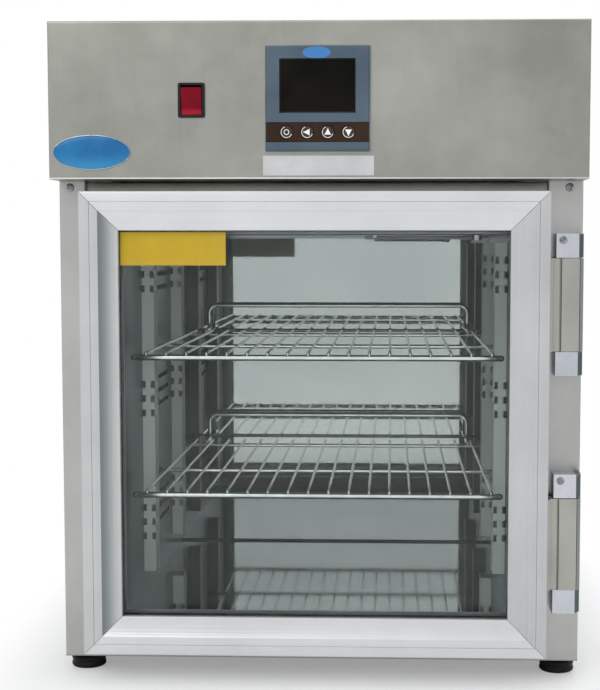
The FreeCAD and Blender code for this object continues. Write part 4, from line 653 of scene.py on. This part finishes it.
def add_glazing_trim():
    """Black wedge strip between the frame and the outer pane."""
    centre = (sum(DOOR_X) / 2, sum(DOOR_Z) / 2)
    size = (DOOR_X[1] - DOOR_X[0] - 2 * OPENING_INSET, DOOR_Z[1] - DOOR_Z[0] - 2 * OPENING_INSET)
    wedge = raised(deep(9.6), (0.0, 0.0), (0.0, 1.4), (0.15, 1.7), (0.35, 1.7), (0.6, 1.0), (0.6, 0.0))
    built("glazing_wedge", [stacked(centre, size, 0.2 * MM, wedge)], "door", finishes["gasket_rubber"],
          capped=(False, False))


# ---- controller and switch -------------------------------------------------------------
PANEL = mm(0.2, 552.2)          # bezel centre, X and Z
PANEL_Y = FASCIA_Y - 5.0 * MM   # bezel face
BEZEL = (PANEL, mm(98.6, 98.6), 1.6 * MM)       # centre, size, corner radius
SURROUND = (PANEL + mm(0.3, 10.7), mm(70.4, 51.4), 0.6 * MM)
SCREEN = (PANEL + mm(0.0, 11.6), mm(67.8, 47.3), 1.0 * MM)
KEY_Z = PANEL[1] - 30.6 * MM
KEYS = {name: (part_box(name)[0].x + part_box(name)[1].x) / 2
        for name in ("key_set", "key_left", "key_up", "key_down")}
BAND_HALF_WIDE, BAND_HALF_HIGH = mm(47.4, 9.15)
KEY_R = 5.8                     # mm
ARC_FROM, ARC_TO = math.radians(112), math.radians(338)
SWITCH = mm(-116.4, 551.3)      # centre, X and Z


def well(x0, x1, centre_x, depth_rows, around=64):
    """Cell of the key band with a round well: the first ring is the cell's outline, met by rays from
    the well's centre, and each next ring a circle of the row's radius at the row's y."""
    half = BAND_HALF_HIGH
    corners = np.arctan2([half, half, -half, -half], np.array([x1, x0, x0, x1]) - centre_x) % (2 * math.pi)
    even = np.linspace(0.0, 2 * math.pi, around, endpoint=False) + 0.001     # clear of the corners' angles
    turn = np.sort(np.concatenate([even, corners]))
    ray = np.stack([np.cos(turn), np.sin(turn)], axis=1)
    room = np.where(ray[:, 0] > 0, x1 - centre_x, centre_x - x0)
    reach = np.minimum(room / np.maximum(np.abs(ray[:, 0]), 1e-6), half / np.maximum(np.abs(ray[:, 1]), 1e-6))
    rings = [(ray * reach[:, None], depth_rows[0][1])] + [(ray * radius, y) for radius, y in depth_rows]
    return np.array([np.stack([centre_x + flat[:, 0], np.full(len(turn), y), KEY_Z + flat[:, 1]], axis=1)
                     for flat, y in rings])


def add_controller():
    """Rim round the bezel, sunk screen with its dark surround, key band with four wells, and the keys."""
    rim = raised(FASCIA_Y, (0.0, 0.0), (0.0, 0.5), (0.25, 0.8), (1.6, 0.9), (1.6, 0.0))
    built("bezel_gasket", [stacked(*BEZEL, rim)], "cabinet", by_name["bezel_rim"],
          capped=(False, False))
    face = raised(PANEL_Y, (0.0, -0.7), (0.0, -0.25), (0.3, -0.02), (1.9, -0.02), (2.2, -0.5), (2.2, -1.2))
    built("screen_surround", [stacked(*SURROUND, face)], "cabinet", by_name["screen_frame"],
          capped=(False, False))
    glass = raised(PANEL_Y, (0.0, -1.6), (0.0, -0.85), (0.25, -0.62), (3.0, -0.55), (12.0, -0.51))
    pane = built("screen_pane", [stacked(*SCREEN, glass)], "cabinet", finishes["screen_window"])
    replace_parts(pane, "controller_screen")
    rows = raised(PANEL_Y, (6.35, -0.72), (6.15, -0.84), (6.05, -1.22), (6.05, -3.95))
    spots = list(KEYS.values())
    halfway = [(p + q) / 2 for p, q in zip(spots, spots[1:])]
    stops = [PANEL[0] - BAND_HALF_WIDE, *halfway, PANEL[0] + BAND_HALF_WIDE]
    cells = [well(x0, x1, x, rows) for x0, x1, x in zip(stops, stops[1:], spots)]
    built("key_band", cells, "cabinet", by_name["band"], capped=(False, True))
    for name, x in KEYS.items():
        add_key(name, x)


def add_key(name, x):
    """Domed round key with a pale arc along its lower left rim, a painted highlight, and a printed plain mark
    or arrow.
    """
    back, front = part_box(name)[1].y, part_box(name)[0].y
    tall = (back - front) / MM
    profile = [(0.02, 0.0), (KEY_R, 0.0), (KEY_R, tall - 0.9), (5.65, tall - 0.5), (5.3, tall - 0.22),
               (4.7, tall - 0.1), (3.0, tall - 0.02), (0.02, tall)]
    key = built(name + "_cap", [turned(np.array(profile) * MM, (x, back, KEY_Z), "front", 56)], name,
                finishes["key_plastic"])
    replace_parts(key, name)
    centre, ink_y = (x, KEY_Z), front + 0.10 * MM
    # Painted highlight: the pale arc on the key's lower left rim stands in for light on its rounded shoulder.
    arc = ring(centre, 4.95 * MM, np.linspace(ARC_FROM, ARC_TO, 40), ink_y + 0.06 * MM)
    marks = [tube(arc, 0.33 * MM, 8, 2)]
    if name == "key_set":
        loop = ring(centre, 2.2 * MM, np.linspace(0.0, 2 * math.pi, 28), ink_y + 0.30 * MM)
        marks.append(tube(loop, 0.55 * MM, 8, 1))
    else:
        aim = {"key_left": 180, "key_up": 90, "key_down": 270}[name]
        turn = np.radians(aim + np.array([0.0, 128.0, 232.0]))
        marks.append(np.array([ring(centre, radius * MM, turn, ink_y - rise * MM)
                               for radius, rise in ((3.9, -0.12), (3.9, 0.07), (3.354, 0.1))]))
    built(name + "_mark", marks, name, by_name["ink"])


def add_switch():
    """Black frame with rounded corners round the well, and the red rocker.  The rocker's face, at s
    from -1 to 1 along its height, has the depth -2.95 + 1.25 (1 - s^2) + 0.5 |s|^12 in mm, and then
    the whole rocker is tilted about its pivot line."""
    edge = raised(FASCIA_Y, (0.0, 0.0), (0.0, 1.1), (0.25, 1.6), (0.9, 1.95), (2.1, 1.95), (2.35, 1.6),
                  (2.35, -3.0))
    built("switch_surround", [stacked(SWITCH, mm(24.8, 31.8), 1.3 * MM, edge)], "cabinet",
          finishes["black_plastic"], capped=(False, False))
    half_high, half_wide, pivot, tilt = 12.75, 9.5, 5.0, math.radians(9.0)
    s = np.linspace(-1.0, 1.0, 33)
    face = np.stack([-2.95 + 1.25 * (1 - s ** 2) + 0.5 * np.abs(s) ** 12, s * half_high], axis=1)
    rest = np.array([(4.9, half_high - 1.6), (8.9, 4.0), (8.9, -4.0), (4.9, 1.6 - half_high)])
    outline = np.concatenate([face, rest])[::-1]
    middle = np.array([3.0, 0.0])
    half_rows = ((1.0, 0.955), (0.985, 0.985), (0.93, 1.0))     # share of half_wide, size of the outline
    rings = []
    for share, grow in [(-share, grow) for share, grow in half_rows] + list(half_rows[::-1]):
        y, z = (middle + (outline - middle) * grow - (pivot, 0.0)).T
        rings.append(np.stack([np.full(len(y), SWITCH[0] + share * half_wide * MM),
                               deep(pivot) + (y * math.cos(tilt) - z * math.sin(tilt)) * MM,
                               SWITCH[1] + (y * math.sin(tilt) + z * math.cos(tilt)) * MM], axis=1))
    rocker = built("rocker_cap", [np.array(rings)], "power_rocker", finishes["red_rocker"],
                   smooth=50.0)
    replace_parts(rocker, "switch_rocker")


# ---- screws, hinges, feet ---------------------------------------------------------------
FRONT_SCREWS = ((-239.5, 40, 472.8), (237.1, 40, 472.8))        # x, depth and z in mm
REAR_SCREWS = tuple((x, 530, z) for x in (-242, 242) for z in (76.0, 247.5, 419.0))
SET_SCREWS = {"upper": 423.0, "lower": 196.5}                   # heights in mm
SET_SCREW_X, BARREL_X = mm(228.4, 235.35)
HEAD_R, HEAD_RISE = mm(4.1, 1.7)


def pan_head(centre, way):
    """Cross-recessed pan head.  At distance r from the axis its height is
    HEAD_RISE (0.35 + 0.65 sqrt(1 - (r / HEAD_R)^2)) - 1.1 mm cross(x, y), the cross 1 inside arms 0.55 mm
    to each side and 2.2 mm long, turned by 24 degrees, fading over 0.2 mm.  The outermost ring is
    the skirt's foot, 1 mm under the face."""
    u, v, w = AXES[way]
    turn = np.linspace(0.0, 2 * math.pi, 72, endpoint=False)
    reach = np.concatenate([[1.0, 1.0], np.linspace(0.985, 0.01, 26)])[:, None] * HEAD_R
    x, y = reach * np.cos(turn), reach * np.sin(turn)
    lean = math.radians(24)
    a = np.abs(x * math.cos(lean) + y * math.sin(lean))
    b = np.abs(y * math.cos(lean) - x * math.sin(lean))
    narrow = np.clip((0.55 * MM - np.minimum(a, b)) / (0.2 * MM) + 0.5, 0.0, 1.0)
    short = np.clip((2.2 * MM - np.maximum(a, b)) / (0.2 * MM) + 0.5, 0.0, 1.0)
    dome = HEAD_RISE * (0.35 + 0.65 * np.sqrt(np.clip(1 - (reach / HEAD_R) ** 2, 0, 1)))
    height = dome - 1.1 * MM * narrow * short
    height[0] = -1.0 * MM
    return np.asarray(centre) + x[..., None] * u + y[..., None] * v + height[..., None] * w


def add_screws():
    """The pan heads on the two stiles and on the back panel."""
    heads = [pan_head((x * MM, deep(depth), z * MM), way)
             for screws, way in ((FRONT_SCREWS, "front"), (REAR_SCREWS, "rear")) for x, depth, z in screws]
    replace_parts(built("pan_head_screws", heads, "cabinet", by_name["screw"]), "cabinet_screws")


def add_hinge_marks():
    """Socket set screws that lock the pins, one in each bracket's upper block."""
    collar = np.array([(3.7, -0.3), (3.7, 0.25), (3.5, 0.5), (2.6, 0.5), (2.35, 0.3), (2.35, -0.2)]) * MM
    floor = np.array([(2.45, 0.0), (2.45, 0.06), (0.02, 0.06)]) * MM
    for name, z in SET_SCREWS.items():
        centre = (SET_SCREW_X, deep(14.0), z * MM)
        lofts = [turned(profile, centre, "front", 40) for profile in (collar, floor)]
        built(name + "_set_screw", lofts, "cabinet", by_name["screw"], capped=(False, False))


def add_hinge_covers():
    """Flat cover plate with rounded edges on the front of each hinge barrel."""
    plate = raised(deep(12.5), (0.0, 0.0), (0.0, 0.45), (0.15, 0.65), (0.45, 0.72))
    for name in ("upper", "lower"):
        low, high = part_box(name + "_hinge_leaf")
        centre, size = (BARREL_X, (low.z + high.z) / 2), (16.5 * MM, high.z - low.z - 1.2 * MM)
        built(name + "_hinge_cover", [stacked(centre, size, 0.6 * MM, plate)], "door", by_name["cover"])


STRIP_TOP, STRIP_FACE_Y, STRIP_BACK_Y = 478.7 * MM, deep(46.1), deep(49)
HEM = (mm(0.0, 479.85), mm(499.0, 1.3), 0.3 * MM)               # centre, size, corner radius
BEAD_X, BEAD_Y, BEAD_Z = mm(-198.6, 190.6), deep(482.6), 38.9 * MM


def add_trim_strips():
    """Folded strip across the recess over the door, a pale hem along the fascia's lower edge whose
    colour is a painted highlight, and a dark bead along the chamber's rear lower corner that is
    painted shade for the dark line in that crease."""
    z0, z1 = DOOR_Z[1] + 0.9 * MM, STRIP_TOP
    fold = [(z0, STRIP_BACK_Y), (z0, STRIP_FACE_Y + 0.5 * MM), (z0 + 0.5 * MM, STRIP_FACE_Y),
            (z1 - 2.2 * MM, STRIP_FACE_Y), (z1 - 0.6 * MM, STRIP_FACE_Y + 0.7 * MM), (z1, STRIP_BACK_Y)]
    stations = np.linspace(DOOR_X[0] - 2.6 * MM, DOOR_X[1] + 2.6 * MM, 5)
    strip = np.array([[(x, y, z) for z, y in fold[::-1]] for x in stations])
    built("header_strip", [strip], "cabinet", finishes["stainless"])
    # Painted highlight: the hem's pale colour stands in for the light along the fascia's lower edge.
    hem = raised(FASCIA_Y, (0.0, 0.0), (0.0, 0.25), (0.25, 0.45))
    built("fascia_hem", [stacked(*HEM, hem)], "cabinet", by_name["hem"], capped=(False, True))
    # Painted shade: a black bead in the corner where the back wall meets the floor stands in for the dark
    # line there.
    bead = np.linspace((BEAD_X[0], BEAD_Y, BEAD_Z), (BEAD_X[1], BEAD_Y, BEAD_Z), 8)
    built("rear_corner_shade_bead", [tube(bead, 1.1 * MM, 12, 2)], "cabinet", finishes["gasket_rubber"])


def add_foot(name):
    """Round moulded foot: rounded tread, waisted side with a grip bead, hexagon nut and threaded
    stem, whose radius is 3.72 + 0.2 cos(2 pi h / 1.25 - t) in mm at height h and turn t."""
    low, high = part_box("foot_" + name)
    centre = np.array([(low.x + high.x) / 2, (low.y + high.y) / 2, 0.0])
    pad = np.array([(0.05, 0.0), (14.2, 0.0), (15.4, 0.25), (16.3, 0.9), (16.8, 1.9), (16.9, 3.2),
                    (16.6, 4.2), (16.2, 4.9), (16.15, 6.6), (16.5, 7.3), (16.85, 8.2), (16.85, 9.6),
                    (16.5, 10.7), (15.6, 11.6), (14.4, 11.95), (9.6, 12.0), (9.4, 12.4), (0.05, 12.4)]) * MM
    nut = np.array([(0.05, 12.2), (8.6, 12.2), (9.1, 12.5), (9.1, 15.3), (8.5, 15.8), (0.05, 15.8)]) * MM
    h = np.linspace(12.0, 29.8, 120)[:, None]
    t = np.linspace(0.0, 2 * math.pi, 28, endpoint=False)[None]
    r = 3.72 + 0.2 * np.cos(2 * math.pi * h / 1.25 - t)
    stem = centre + np.stack([r * np.cos(t), r * np.sin(t), h + 0 * t], axis=-1) * MM
    body = "foot_" + name
    foot = built(body + "_pad", [turned(pad, centre, "up", 64)], body, finishes["foot_plastic"])
    hard = built(body + "_stem", [turned(nut, centre, "up", 6), stem], body, by_name["screw"],
                 smooth=30.0)
    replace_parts(foot, "foot_" + name)
    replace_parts(hard, "foot_" + name)


# ---- labels and badge, all bare -------------------------------------------------------
def printed_film(name, light, dark, through=0.0):
    """Thin printed film: slight mottling, tiny air marks; through is the share of light it lets past."""
    f = Finish(name)
    mottle = f.noise(55.0, 3.0, 0.6)
    grain = f.noise(1600.0, 2.0, 0.6)
    air = f.step(f.noise(160.0, 2.0, 0.5), 0.62, 0.70)
    colour = f.blend(f.step(mottle * 0.8 + grain * 0.2, 0.3, 0.75), dark, light)
    bump = f.relief(mottle * 0.5 + air * 0.5, 0.05 * MM)
    front = f.principled(Base_Color=colour, Roughness=0.35 + grain * 0.08 - air * 0.08, Normal=bump,
                         Coat_Weight=0.1)
    if not through:
        return f.done(front)
    lit = f.add("ShaderNodeBsdfTranslucent", (), {"Color": (0.86, 0.9, 0.86)})
    return f.done(f.add("ShaderNodeMixShader", (), {0: mottle * 0.1 + through, 1: front, 2: lit}))


WHITE_LABEL = (mm(0.85, 491.4), mm(102.5, 18.2), 0.8 * MM)      # centre, size, corner radius
YELLOW_LABEL = (mm(-136.3, 414.7), mm(99.4, 31.2), 0.3 * MM)
BADGE = (mm(-209.6, 503.7), mm(72.8, 32.4), 0.0)


def film(thick, y):
    """Layers of a thin film, its thickness in millimetres, laid on a face at y."""
    return raised(y, (0.0, 0.0), (0.0, thick * 0.7), (0.12, thick))


def add_labels():
    """Blank white strip on the fascia, blank yellow strip on the door's glass, and the oval badge."""
    white = printed_film("white_label_film", (0.57, 0.575, 0.575), (0.50, 0.505, 0.505))
    yellow = printed_film("yellow_label_film", (0.80, 0.54, 0.006), (0.72, 0.47, 0.003), through=0.30)
    built("white_label", [stacked(*WHITE_LABEL, film(0.25, FASCIA_Y))], "cabinet", white)
    built("yellow_label", [stacked(*YELLOW_LABEL, film(0.2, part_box("outer_glass")[0].y))], "door", yellow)
    rim = raised(FASCIA_Y, (0.0, 0.0), (0.0, 0.9), (0.25, 1.35), (0.7, 1.45), (0.95, 1.2), (1.0, 0.8),
                 (1.0, 0.0))
    built("badge_rim", [stacked(*BADGE, rim, oval)], "cabinet", by_name["badge_rim"],
          capped=(False, False))
    dome = raised(FASCIA_Y, (1.0, 0.0), (1.0, 0.9), (2.0, 1.3), (4.0, 1.65), (7.0, 1.9), (11.0, 2.05),
                  (15.0, 2.1))
    built("badge_dome", [stacked(*BADGE, dome, oval)], "cabinet", by_name["badge_blue"])


add_camera()
for level in ("upper", "lower"):
    add_shelf(level)
add_door_frame()
add_glazing_trim()
add_controller()
add_switch()
add_screws()
add_hinge_marks()
add_hinge_covers()
add_trim_strips()
for corner in ("front_left", "front_right", "rear_left", "rear_right"):
    add_foot(corner)
add_labels()


# ---- floor, backdrop and light --------------------------------------------------------
FLOOR_HALF = 6.0
SHADE_HALF_X, SHADE_HALF_Y = 0.25, 0.27         # the floor is least white within this box
SHADE_FADE, SHADE_LEAST = 0.11, 0.3             # it turns white over this distance, from this share
ROOM_TONE, ROOM_LIGHT = (0.925, 0.94, 0.955), 0.95
WHITE = (1.0, 1.0, 1.0)


def add_stage():
    """Pale floor that keeps the object's shadow and fades to white, under soft even light."""
    h = FLOOR_HALF
    mesh = bpy.data.meshes.new("floor")
    mesh.from_pydata([(-h, -h, 0), (h, -h, 0), (h, h, 0), (-h, h, 0)], [], [(0, 1, 2, 3)])
    floor = bpy.data.objects.new("floor", mesh)
    bpy.context.scene.collection.objects.link(floor)
    f = Finish("pale_floor")
    rays = f.add("ShaderNodeLightPath", out="Is Camera Ray")
    beside = f.math("MAXIMUM", f.math("ABSOLUTE", f.axis("X")) - SHADE_HALF_X, 0.0)
    before = f.math("MAXIMUM", f.math("ABSOLUTE", f.axis("Y")) - SHADE_HALF_Y, 0.0)
    far = f.step((beside * beside + before * before) ** 0.5, 0.0, SHADE_FADE)
    far = far * (1.0 - SHADE_LEAST) + SHADE_LEAST
    paint = f.principled(Base_Color=(0.90, 0.90, 0.90), Roughness=0.8)
    glow = f.add("ShaderNodeEmission", (), {"Color": WHITE, "Strength": 1.0})
    mesh.materials.append(f.done(f.add("ShaderNodeMixShader", (), {0: rays * far, 1: paint, 2: glow})))

    sky = Finish("soft_room", bpy.data.worlds)
    seen = sky.math("MAXIMUM", *(sky.add("ShaderNodeLightPath", out=kind)
                                 for kind in ("Is Camera Ray", "Is Transmission Ray")))
    room = sky.add("ShaderNodeBackground", (), {"Color": ROOM_TONE, "Strength": ROOM_LIGHT})
    white = sky.add("ShaderNodeBackground", (), {"Color": WHITE, "Strength": 1.0})
    mixed = sky.add("ShaderNodeMixShader", (), {0: seen, 1: room, 2: white})
    sky.add("ShaderNodeOutputWorld", (), {"Surface": mixed})
    bpy.context.scene.world = sky.material


def add_lamp(name, place, aim, size, power):
    """Square soft box that faces a point."""
    lamp = bpy.data.lights.new(name, "AREA")
    lamp.shape = "SQUARE"
    lamp.size = size
    lamp.energy = power
    ahead = unit(np.array(aim) - np.array(place))
    right = unit(np.cross(ahead, (0.0, 0.0, 1.0)))
    stand(bpy.data.objects.new(name, lamp), place, right, np.cross(right, ahead), ahead)


add_stage()
add_lamp("key_softbox", place=(-1.3, -2.4, 2.3), aim=(0.0, -0.2, 0.35), size=1.8, power=22.0)
add_lamp("top_softbox", place=(0.5, 0.2, 2.6), aim=(0.0, 0.0, 0.4), size=1.6, power=12.0)
bpy.context.scene.view_settings.view_transform = "Standard"
